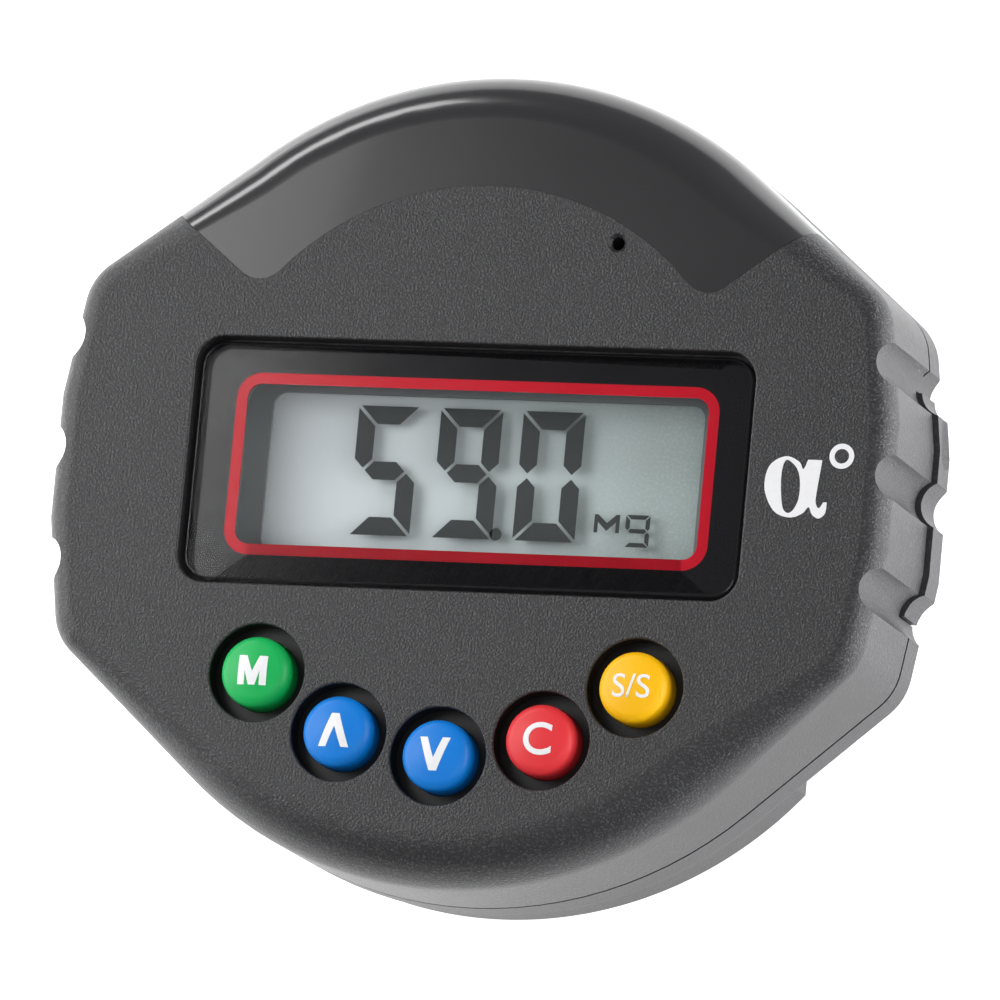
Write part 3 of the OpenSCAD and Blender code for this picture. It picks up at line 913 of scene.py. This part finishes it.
@dataclass
class Display:
    """Window plate, liquid crystal cell and the reading on it.

    Attributes:
        corner: Corner radius of the window plate in millimetres.
        edge: Rounding of its upper edge in millimetres.
        plain: Upward share of a unit normal from which a face is not part of its edge.
        cell_deep: Depth of the clear layer of the cell in millimetres.
        cell_gap: Gap between that layer and the reflector in millimetres.
        cell_corner: Corner radius of the cell in millimetres.
        segment_t: Thickness of a segment in millimetres.
        digit: Place and size of the first digit.
        pitch: Distance between digits in millimetres.
        count: Place and size of the small figure that counts the stored values.
        point: Middle of the decimal point in millimetres.
        point_r: Radius of the decimal point in millimetres.
        flag: Left, lower, right and upper end of the small letter in millimetres.
        flag_stroke: Stroke of the small letter in millimetres.
    """

    corner: float = 2.4
    edge: float = 0.3
    plain: float = 0.99
    cell_deep: float = 0.9
    cell_gap: float = 0.02
    cell_corner: float = 0.3
    segment_t: float = 0.03
    digit: Figure = Figure(-12.95, -5.25, 6.15, 12.5, 1.75, 0.22)
    pitch: float = 8.2
    count: Figure = Figure(14.5, -5.5, 2.4, 3.1, 0.42, 0.08)
    point: tuple[float, float] = (1.75, -4.75)
    point_r: float = 0.6
    flag: tuple[float, float, float, float] = (11.4, -4.2, 13.9, -2.45)
    flag_stroke: float = 0.36

    # Dark segments of each figure: a to f run clockwise from the top one, and g is the middle one.
    SHAPES: ClassVar[dict[str, str]] = {"5": "acdfg", "9": "abcdfg", "0": "abcdef"}
    READING: ClassVar[str] = "590"
    COUNT: ClassVar[str] = "9"
    POINT_STEPS: ClassVar[int] = 24

    def build(self) -> None:
        """Builds the window, the cell and the reading."""
        self.build_window()
        self.build_cell()
        top = high("display_panel").z
        for index, shown in enumerate(self.READING):
            figure = replace(self.digit, x=self.digit.x + index * self.pitch)
            self.build_digit(f"digit_{index + 1}", shown, figure, top)
        self.build_digit("memory_count", self.COUNT, self.count, top)
        self.build_point(top)
        self.build_memory_flag(top)

    def build_window(self) -> None:
        """Builds the clear plate from a plane with rounded corners."""
        a, b = low("display_window"), high("display_window")
        obj = start(
            "window_plate_clear", bpy.ops.mesh.primitive_plane_add, size=1,
            location=((a.x + b.x) / 2, (a.y + b.y) / 2, a.z),
        )
        obj.scale = (b.x - a.x, b.y - a.y, 1)
        bpy.ops.object.transform_apply(location=True, rotation=True, scale=True)
        with editing(obj):
            bpy.ops.mesh.select_all(action="SELECT")
            bpy.ops.mesh.bevel(offset=self.corner * MM, segments=8, affect="VERTICES")
            thicken(b.z - a.z)
            pick(obj, Element.EDGE, lambda e: level(e, b.z) and crease(e) > SHARP)
            bpy.ops.mesh.bevel(offset=self.edge * MM, segments=3, affect="EDGES")
        smooth(obj, SHARP)
        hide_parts("display_window")
        settle(obj, WINDOW_PMMA, Body.CASING)
        obj.data.materials.append(EDGE_PMMA.material())
        for side in obj.data.polygons:
            side.material_index = 0 if abs(side.normal.z) > self.plain else 1

    def build_cell(self) -> None:
        """Builds the reflector and the clear layer over it."""
        a, b = low("display_panel"), high("display_panel")
        split = b.z - self.cell_deep * MM
        for name, z0, z1, finish in (
            ("cell_reflector", a.z, split - self.cell_gap * MM, PANEL_GREY),
            ("cell_glass", split, b.z, PANEL_GLASS),
        ):
            obj = start(
                name, bpy.ops.mesh.primitive_cube_add, size=1,
                location=((a.x + b.x) / 2, (a.y + b.y) / 2, (z0 + z1) / 2),
            )
            obj.scale = (b.x - a.x, b.y - a.y, z1 - z0)
            bpy.ops.object.transform_apply(location=True, rotation=True, scale=True)
            with editing(obj):
                pick(obj, Element.EDGE, lambda e: not level(e, e.verts[0].co.z))
                bpy.ops.mesh.bevel(offset=self.cell_corner * MM, segments=3, affect="EDGES")
            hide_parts("display_panel")
            settle(obj, finish, Body.CASING)

    def plate(self, name: str, corners: list[tuple[float, float]], z: float) -> bpy.types.Object:
        """Makes a thin plate for a segment from a circle drawn out to its corners.

        Args:
            name: Name of the plate.
            corners: Corners in millimetres, in turn.
            z: Height of its underside in metres.

        Returns:
            The plate.
        """
        obj = start(
            name, bpy.ops.mesh.primitive_circle_add, vertices=len(corners), radius=MM, fill_type="NGON"
        )
        with editing(obj):
            draw_out(obj, corners, z)
            thicken(self.segment_t * MM)
        return obj

    def build_digit(self, name: str, shown: str, figure: Figure, z: float) -> None:
        """Builds a seven-segment figure.

        Args:
            name: Name of the piece.
            shown: Figure that it shows.
            figure: Its place and size.
            z: Height of the plane of the cell in metres.
        """
        outlines = figure.segments()
        made = [self.plate(f"{name}_{k}", outlines[k], z) for k in self.SHAPES[shown]]
        bpy.ops.object.select_all(action="DESELECT")
        for obj in made:
            obj.select_set(True)
        bpy.context.view_layer.objects.active = made[0]
        bpy.ops.object.join()
        made[0].name = name
        made[0].data.name = name
        settle(made[0], SEGMENT_DARK, Body.CASING)

    def build_point(self, z: float) -> None:
        """Builds the decimal point.

        Args:
            z: Height of the plane of the cell in metres.
        """
        x, y = self.point
        turns = [k * math.tau / self.POINT_STEPS for k in range(self.POINT_STEPS)]
        corners = [(x + self.point_r * math.cos(t), y + self.point_r * math.sin(t)) for t in turns]
        settle(self.plate("decimal_point", corners, z), SEGMENT_DARK, Body.CASING)

    def build_memory_flag(self, z: float) -> None:
        """Builds the small letter that says a stored value is shown.

        Args:
            z: Height of the plane of the cell in metres.
        """
        x0, y0, x1, y1 = self.flag
        s = self.flag_stroke
        xm = (x0 + x1) / 2
        corners = [
            (x0, y0), (x0 + s, y0), (x0 + s, y1 - 2 * s), (xm, y0 + 0.5 * s), (x1 - s, y1 - 2 * s),
            (x1 - s, y0), (x1, y0), (x1, y1), (x1 - s, y1), (xm, y0 + 2.6 * s), (x0 + s, y1), (x0, y1),
        ]
        settle(self.plate("memory_flag", corners, z), SEGMENT_DARK, Body.CASING)


@dataclass
class KeyCap:
    """One key cap with its flange and printed mark.

    Attributes:
        name: Name of the key.
        mark: What is printed on it.
        body: Body it rides on.
        finish: Finish of the cap.
        slot: Slot name of the finish; not used.
        radius: Radius of the cap in millimetres.
        edge: Rounding of the upper edge in millimetres.
        dome: Radius of the domed top in millimetres.
        flange: Thickness of the flange in millimetres.
        mark_t: Thickness of the mark in millimetres.
        mark_room: How far the dome stays below the top of the key, for the mark, in millimetres.
        mark_lift: Gap between the dome and the mark in millimetres.
        rings: Rings of faces on the dome.
    """

    name: str
    mark: Mark
    body: Body
    finish: Finish
    slot: str
    radius: float = 3.4
    edge: float = 1.1
    dome: float = 8.5
    flange: float = 1.0
    mark_t: float = 0.02
    mark_room: float = 0.035
    mark_lift: float = 0.012
    rings: int = 5

    # Size of the letters and what is added to their weight, in millimetres.
    LETTERS: ClassVar[dict[Mark, tuple[float, float]]] = {Mark.CLEAR: (4.3, 0.06), Mark.START: (3.2, 0.01)}
    # Half width, half height and stroke of the arrow and of the bold letter, in millimetres.
    ARROW: ClassVar[tuple[float, float, float]] = (1.5, 1.6, 0.62)
    BOLD: ClassVar[tuple[float, float, float]] = (1.42, 1.4, 0.68)

    def build(self) -> None:
        """Builds and dresses the cap and its mark."""
        cap = self.build_cap()
        self.build_mark(cap)

    def build_cap(self) -> bpy.types.Object:
        """Builds the cap from a cylinder with a flange, a rounded edge and a domed top.

        Returns:
            The cap.
        """
        node = f"key_{self.name}"
        a, b, at = low(node), high(node), middle(node)
        flat = (self.radius - self.edge) * MM
        sag = flat * flat / (2 * self.dome * MM)
        shoulder = b.z - sag - self.mark_room * MM
        root = a.z + self.flange * MM
        obj = start(
            f"key_cap_{self.name}", bpy.ops.mesh.primitive_cylinder_add, vertices=64,
            radius=self.radius * MM, depth=shoulder - root, location=(at.x, at.y, (shoulder + root) / 2),
        )
        bpy.ops.object.transform_apply(location=True, rotation=True, scale=True)
        spread = (b.x - a.x) / 2 / (self.radius * MM)
        with editing(obj):
            pick(obj, Element.FACE, lambda f: f.normal.z < -FACING)
            bpy.ops.mesh.extrude_region_move(TRANSFORM_OT_translate={"value": (0, 0, 0)})
            bpy.ops.transform.resize(value=(spread, spread, 1), center_override=(at.x, at.y, root))
            bpy.ops.mesh.extrude_region_move(TRANSFORM_OT_translate={"value": (0, 0, a.z - root)})
            pick(obj, Element.EDGE, lambda e: level(e, shoulder))
            bpy.ops.mesh.bevel(offset=self.edge * MM, segments=7, affect="EDGES")
            pick(obj, Element.FACE, lambda f: f.normal.z > FACING and len(f.verts) > 8)
            before = flat
            for k in range(1, self.rings):
                r = flat * (self.rings - k) / self.rings
                bpy.ops.mesh.inset(thickness=before - r, use_even_offset=False)
                rise = (before * before - r * r) / (2 * self.dome * MM)
                bpy.ops.transform.translate(value=(0, 0, rise))
                before = r
            bpy.ops.mesh.select_all(action="SELECT")
            bpy.ops.mesh.normals_make_consistent(inside=False)
        smooth(obj, SHARP)
        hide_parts(node)
        return settle(obj, self.finish, self.body)

    def build_mark(self, cap: bpy.types.Object) -> None:
        """Builds the printed mark and lays it on the dome.

        Args:
            cap: The cap that carries it.
        """
        at = middle(f"key_{self.name}")
        top = high(f"key_{self.name}").z
        if self.mark in (Mark.UP, Mark.DOWN):
            obj = self.build_arrow(1 if self.mark is Mark.UP else -1)
        elif self.mark is Mark.MEMORY:
            obj = self.build_bold_m()
        else:
            obj = self.build_letters()
        with editing(obj):
            bpy.ops.mesh.select_all(action="SELECT")
            bpy.ops.mesh.quads_convert_to_tris()
            bpy.ops.mesh.subdivide(number_cuts=5)
            bpy.ops.transform.translate(value=(at.x, at.y, top + MM))
        apply_modifier(obj, "SHRINKWRAP", {
            "target": cap, "wrap_method": "PROJECT", "use_project_z": True, "use_negative_direction": True,
            "use_positive_direction": False, "offset": self.mark_lift * MM,
        })
        apply_modifier(obj, "SOLIDIFY", {"thickness": self.mark_t * MM, "offset": 1.0})
        settle(obj, PRINT_WHITE, self.body)

    def build_letters(self) -> bpy.types.Object:
        """Sets the letters of the mark flat at the origin and makes them a mesh.

        Returns:
            The letters.
        """
        size, weight = self.LETTERS[self.mark]
        obj = start(f"mark_{self.name}", bpy.ops.object.text_add, location=(0, 0, 0))
        obj.data.body = self.mark.value
        obj.data.size = size * MM
        obj.data.offset = weight * MM
        obj.data.align_x = "CENTER"
        obj.data.align_y = "CENTER"
        obj.data.resolution_u = 6
        bpy.ops.object.convert(target="MESH")
        obj = bpy.context.active_object
        with editing(obj):
            bpy.ops.mesh.select_all(action="SELECT")
            bpy.ops.mesh.remove_doubles(threshold=1e-7)
            xs = [v.co.x for v in bmesh.from_edit_mesh(obj.data).verts]
            ys = [v.co.y for v in bmesh.from_edit_mesh(obj.data).verts]
            bpy.ops.transform.translate(value=(-(min(xs) + max(xs)) / 2, -(min(ys) + max(ys)) / 2, 0))
        return obj

    def build_arrow(self, way: int) -> bpy.types.Object:
        """Builds an open arrow flat at the origin.

        Args:
            way: 1 points up and -1 points down.

        Returns:
            The arrow.
        """
        w, h, s = self.ARROW
        slope = math.hypot(w, 2 * h) / (2 * h) * s * 1.1
        corners = [
            (-w, -h), (-w + slope, -h), (0, h - 1.95 * s), (w - slope, -h), (w, -h), (slope / 2, h),
            (-slope / 2, h),
        ]
        return self.build_flat([(x, way * y) for x, y in corners])

    def build_bold_m(self) -> bpy.types.Object:
        """Builds a bold letter flat at the origin.

        Returns:
            The letter.
        """
        w, h, s = self.BOLD
        corners = [
            (-w, -h), (-w + s, -h), (-w + s, h - 2.1 * s), (-0.32, -h), (0.32, -h), (w - s, h - 2.1 * s),
            (w - s, -h), (w, -h), (w, h), (w - s - 0.12, h), (0, -h + 1.9 * s), (-w + s + 0.12, h), (-w, h),
        ]
        return self.build_flat(corners)

    def build_flat(self, corners: list[tuple[float, float]]) -> bpy.types.Object:
        """Draws a circle out to the corners of a mark, flat at the origin.

        Args:
            corners: Corners in millimetres, in turn.

        Returns:
            The mark, in triangles.
        """
        obj = start(
            f"mark_{self.name}", bpy.ops.mesh.primitive_circle_add, vertices=len(corners), radius=MM,
            fill_type="NGON",
        )
        with editing(obj):
            draw_out(obj, corners, 0)
            bpy.ops.mesh.select_all(action="SELECT")
            bpy.ops.mesh.quads_convert_to_tris()
            bpy.ops.mesh.normals_make_consistent(inside=False)
        return obj


@dataclass
class FacePrint:
    """The angle sign printed on the face, drawn as plain strokes.

    Attributes:
        at_x: Middle of the letter in millimetres.
        at_y: Middle of the letter in millimetres.
        ring_x: Middle of the degree ring in millimetres.
        ring_y: Middle of the degree ring in millimetres.
        ring_r: Outer radius of the degree ring in millimetres.
        ring_w: Stroke of the degree ring in millimetres.
        lift: Height of the print over the face in millimetres.
    """

    at_x: float = 32.45
    at_y: float = -0.1
    ring_x: float = 36.8
    ring_y: float = 2.8
    ring_r: float = 1.2
    ring_w: float = 0.5
    lift: float = 0.02

    # Outline of the letter from the top of its stem round clockwise, and of its counter, from its middle.
    # A point that is given twice makes a corner.
    OUTER: ClassVar[list[tuple[float, float]]] = [
        (2.5, 2.46), (2.5, 2.46), (2.2, -0.87), (2.25, -1.73), (2.57, -2.12), (2.94, -1.54), (2.94, -1.54),
        (3.28, -1.54), (3.28, -1.54), (3.2, -2.6), (2.6, -3.1), (1.95, -2.75), (1.55, -2.06), (0.97, -2.7),
        (-0.26, -3.1), (-1.83, -2.5), (-2.88, -0.45), (-2.6, 1.75), (-1.1, 2.72), (0.25, 2.25), (0.72, 1.55),
        (1.12, 2.46), (1.12, 2.46),
    ]
    COUNTER: ClassVar[list[tuple[float, float]]] = [
        (-0.82, 2.38), (0.1, 1.6), (0.5, 0.4), (0.52, -1.2), (0.15, -2.25), (-0.4, -2.68), (-0.95, -2.2),
        (-1.25, -0.7), (-1.36, 0.86), (-1.22, 2.0),
    ]

    def build(self) -> None:
        """Builds the letter and the ring of the degree sign."""
        self.build_letter()
        self.build_ring()

    def rounded(self, points: list[tuple[float, float]], steps: int = 5) -> list[tuple[float, float]]:
        """Runs a smooth closed line through points.

        Args:
            points: Points in turn.
            steps: Points of the line for each point given.

        Returns:
            Points on the line, without repeats.
        """
        line: list[tuple[float, float]] = []
        for k in range(len(points)):
            p0, p1, p2, p3 = (Vector(points[(k + j - 1) % len(points)]) for j in range(4))
            if (p2 - p1).length < 1e-9:
                continue
            for j in range(steps):
                t = j / steps
                at = 0.5 * (
                    2 * p1 + (p2 - p0) * t + (2 * p0 - 5 * p1 + 4 * p2 - p3) * t**2
                    + (3 * p1 - p0 - 3 * p2 + p3) * t**3
                )
                line.append((at.x, at.y))
        return line

    def build_letter(self) -> None:
        """Builds the letter from two circles drawn out to its outline and counter."""
        z = high("front_casing").z
        outer, counter = self.rounded(self.OUTER), self.rounded(self.COUNTER)
        obj = start(
            "print_angle_letter", bpy.ops.mesh.primitive_circle_add, vertices=len(outer), radius=3 * MM
        )
        with editing(obj):
            bpy.ops.mesh.primitive_circle_add(vertices=len(counter), radius=MM)
            draw_out(obj, [(self.at_x + x, self.at_y + y) for x, y in outer + counter], z)
            bpy.ops.mesh.select_all(action="SELECT")
            bpy.ops.mesh.fill(use_beauty=True)
            thicken(self.lift * MM)
        settle(obj, PRINT_WHITE, Body.CASING)

    def build_ring(self) -> None:
        """Builds the ring of the degree sign from a circle with an inset."""
        z = high("front_casing").z
        obj = start(
            "print_degree_ring", bpy.ops.mesh.primitive_circle_add, vertices=48, radius=self.ring_r * MM,
            fill_type="NGON", location=(self.ring_x * MM, self.ring_y * MM, z),
        )
        bpy.ops.object.transform_apply(location=True, rotation=True, scale=True)
        with editing(obj):
            bpy.ops.mesh.select_all(action="SELECT")
            bpy.ops.mesh.inset(thickness=self.ring_w * MM)
            bpy.ops.mesh.delete(type="FACE")
            thicken(self.lift * MM)
        settle(obj, PRINT_WHITE, Body.CASING)


@dataclass
class Drawer:
    """The battery drawer and the coin cell that lies in it.

    Attributes:
        edge_soft: Rounding of the edges of the drawer in millimetres.
        edge_crease: Least angle between the faces at such an edge, in degrees.
        can_soft: Rounding of the rim of the cell in millimetres.
        stamp: Length, width and depth of the arms of the stamped plus sign in millimetres.
        stamp_in: Distance of that sign from the middle of the cell in millimetres.
    """

    edge_soft: float = 0.16
    edge_crease: float = 50.0
    can_soft: float = 0.45
    stamp: tuple[float, float, float] = (3.8, 0.75, 0.25)
    stamp_in: float = 5.4

    def build(self) -> None:
        """Builds and dresses the drawer and its cell."""
        obj = cad_copy("battery_drawer", "drawer_moulding")
        soften(obj, self.edge_soft, lambda e: e.is_convex and crease(e) > self.edge_crease, segments=3)
        shade(obj)
        settle(obj, REAR_ABS, Body.DRAWER)
        self.build_cell()

    def build_cell(self) -> None:
        """Builds the coin cell with its drawn rim and stamped plus sign."""
        obj = cad_copy("coin_cell", "coin_cell_can")
        top = high("coin_cell").z
        at = middle("coin_cell")
        soften(obj, self.can_soft, lambda e: level(e, top) and crease(e) > SHARP)
        length, width, depth = self.stamp
        for size in ((length, width), (width, length)):
            bar = start(
                "stamp_bar", bpy.ops.mesh.primitive_cube_add, size=MM,
                location=(at.x, at.y + self.stamp_in * MM, top),
            )
            bar.scale = (*size, 2 * depth)
            apply_modifier(obj, "BOOLEAN", {"operation": "DIFFERENCE", "object": bar, "solver": "EXACT"})
            bpy.data.objects.remove(bar)
        shade(obj)
        settle(obj, CELL_STEEL, Body.DRAWER)


@dataclass
class InnerWorks:
    """The pieces inside, and others that the solids already show well."""

    def build(self) -> None:
        """Gives each plain node its finish."""
        for node, finish in PLAIN_NODES.items():
            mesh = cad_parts[node].data
            mesh.materials.clear()
            mesh.materials.append(finish.material())
            LOG.info("%s: %s", node, finish.name)


@dataclass(frozen=True)
class Lamp:
    """A soft rectangular lamp that points at the gauge.

    Attributes:
        name: Name of the lamp.
        place: Where it hangs, in metres.
        size: Width and height in metres.
        power: Power in watts.
        mirrored: Whether it gives surfaces a sheen.
    """

    name: str
    place: tuple[float, float, float]
    size: tuple[float, float]
    power: float
    mirrored: bool = True

    # Middle of the gauge, in metres.
    AIM: ClassVar[tuple[float, float, float]] = (0, 0, 0.015)

    def hang(self) -> None:
        """Hangs the lamp."""
        data = bpy.data.lights.new(self.name, "AREA")
        data.shape = "RECTANGLE"
        data.size, data.size_y = self.size
        data.energy = self.power
        obj = bpy.data.objects.new(self.name, data)
        bpy.context.scene.collection.objects.link(obj)
        way = Vector(self.place) - Vector(self.AIM)
        obj.location = self.place
        obj.visible_camera = False
        obj.visible_glossy = self.mirrored
        obj.rotation_euler = way.to_track_quat("Z", "Y").to_euler()


@dataclass
class Studio:
    """Floor, soft lamps, world and camera.

    Attributes:
        yaw: Turn of the camera to the right of the face, in degrees.
        pitch: Turn of the camera above the face, in degrees.
        roll: Turn of the picture, in degrees.
        away: Distance of the camera in metres.
        lens: Focal length in millimetres.
        sensor: Width of the camera's sensor in millimetres.
        aim: Point that the camera is turned to, up the face and out of it, in millimetres.
        frame_shift: Middle of the picture from that point, to the right and up, in millimetres.
        floor_size: Side of the floor in metres.
        floor_z: Height of the floor in metres, just clear of the back.
        floor_glow: Light of the floor's own, as the camera and shiny surfaces see it.
        room_light: Strength of the even light of the room.
    """

    yaw: float = 17.58
    pitch: float = -10.22
    roll: float = 2.083
    away: float = 1.2
    lens: float = 457.9
    sensor: float = 36.0
    aim: tuple[float, float] = (0.45, 24.1)
    frame_shift: tuple[float, float] = (3.123, -2.920)
    floor_size: float = 8.0
    floor_z: float = -0.0002
    floor_glow: float = 0.75
    room_light: float = 0.26

    # A key lamp and a sheen on the face from the left, a streak on the lens from behind, a fill from
    # above, a broad lamp at each side, and low strips that light the walls and stay below the face.
    LAMPS: ClassVar[tuple[Lamp, ...]] = (
        Lamp("key_lamp", (-0.4, 0.1, 0.38), (0.25, 0.35), 0.5),
        Lamp("sheen_lamp", (-0.2, 0.04, 0.25), (0.16, 0.2), 0.32),
        Lamp("streak_lamp", (-0.7, 0.85, 0.6), (0.6, 0.25), 4.0),
        Lamp("top_lamp", (0.5, -0.35, 1.1), (0.6, 0.6), 2.4),
        Lamp("right_lamp", (1.0, 0.1, 0.34), (0.8, 0.6), 6.0),
        Lamp("left_lamp", (-0.95, 0.0, 0.34), (0.8, 0.6), 3.8),
        Lamp("left_table_strip", (-0.12, 0.02, 0.011), (0.3, 0.02), 0.26, mirrored=False),
        Lamp("right_table_strip", (0.13, 0.02, 0.011), (0.3, 0.02), 0.48, mirrored=False),
    )

    def build(self) -> None:
        """Builds the whole studio."""
        self.build_floor()
        self.build_world()
        for lamp in self.LAMPS:
            lamp.hang()
        self.build_camera()
        bpy.context.scene.view_settings.view_transform = "Standard"

    def build_camera(self) -> None:
        """Sets the camera at the photograph's viewing angle."""
        back = Vector((math.sin(math.radians(self.yaw)), math.sin(math.radians(self.pitch)), 0))
        back.z = math.sqrt(1 - back.x**2 - back.y**2)
        side = (Vector((1, 0, 0)) - back * back.x).normalized()
        rise = back.cross(side)
        turn = math.radians(self.roll)
        right = side * math.cos(turn) + rise * math.sin(turn)
        up = rise * math.cos(turn) - side * math.sin(turn)
        shift_x, shift_y = self.frame_shift
        aim = Vector((0, self.aim[0] * MM, self.aim[1] * MM)) + right * shift_x * MM + up * shift_y * MM
        data = bpy.data.cameras.new("studio_camera")
        data.lens = self.lens
        data.sensor_width = self.sensor
        data.clip_start = 0.05
        data.clip_end = 50
        camera = bpy.data.objects.new("studio_camera", data)
        bpy.context.scene.collection.objects.link(camera)
        turned = Matrix((right, up, back)).transposed().to_4x4()
        camera.matrix_world = Matrix.Translation(aim + back * self.away) @ turned
        bpy.context.scene.camera = camera

    def build_floor(self) -> None:
        """Lays the pale floor, which shows white and keeps the shadow."""
        obj = start(
            "studio_floor", bpy.ops.mesh.primitive_plane_add, size=self.floor_size,
            location=(0, 0, self.floor_z),
        )
        made = bpy.data.materials.new("studio_floor_paper")
        made.use_nodes = True
        tree = made.node_tree
        shader = tree.nodes["Principled BSDF"]
        shader.inputs["Base Color"].default_value = linear("#f2f2f2")
        shader.inputs["Roughness"].default_value = 0.9
        shader.inputs["Emission Color"].default_value = (1, 1, 1, 1)
        path = add_node(tree, "ShaderNodeLightPath")
        clear = add_node(
            tree, "ShaderNodeMath", {"operation": "MAXIMUM"},
            {0: path.outputs["Is Glossy Ray"], 1: path.outputs["Is Transmission Ray"]},
        )
        seen = add_node(
            tree, "ShaderNodeMath", {"operation": "MAXIMUM"},
            {0: path.outputs["Is Camera Ray"], 1: clear.outputs[0]},
        )
        glow = add_node(
            tree, "ShaderNodeMath", {"operation": "MULTIPLY", 1: self.floor_glow}, {0: seen.outputs[0]}
        )
        tree.links.new(glow.outputs[0], shader.inputs["Emission Strength"])
        obj.data.materials.append(made)

    def build_world(self) -> None:
        """Fills the room with even white light, a plain white seen from the camera."""
        world = bpy.data.worlds.new("studio_world")
        bpy.context.scene.world = world
        world.use_nodes = True
        tree = world.node_tree
        sky = tree.nodes["Background"]
        sky.inputs["Color"].default_value = (1, 1, 1, 1)
        path = add_node(tree, "ShaderNodeLightPath")
        share = add_node(
            tree, "ShaderNodeMapRange", {"To Min": self.room_light, "To Max": 1.0},
            {"Value": path.outputs["Is Camera Ray"]},
        )
        tree.links.new(share.outputs["Result"], sky.inputs["Strength"])


def main() -> None:
    """Builds the gauge piece by piece, then the studio."""
    logging.basicConfig(level=logging.INFO, format="%(name)s: %(message)s")
    InnerWorks().build()
    Casing().build()
    SignalLens().build()
    Display().build()
    for key in (
        KeyCap("memory", Mark.MEMORY, Body.MEMORY, KEY_GREEN, "key_green"),
        KeyCap("up", Mark.UP, Body.UP, KEY_BLUE, "key_blue"),
        KeyCap("down", Mark.DOWN, Body.DOWN, KEY_BLUE, "key_blue"),
        KeyCap("clear", Mark.CLEAR, Body.CLEAR, KEY_RED, "key_red"),
        KeyCap("start", Mark.START, Body.START, KEY_YELLOW, "key_yellow"),
    ):
        key.build()
    FacePrint().build()
    Drawer().build()
    Studio().build()


if __name__ == "__main__":
    main()
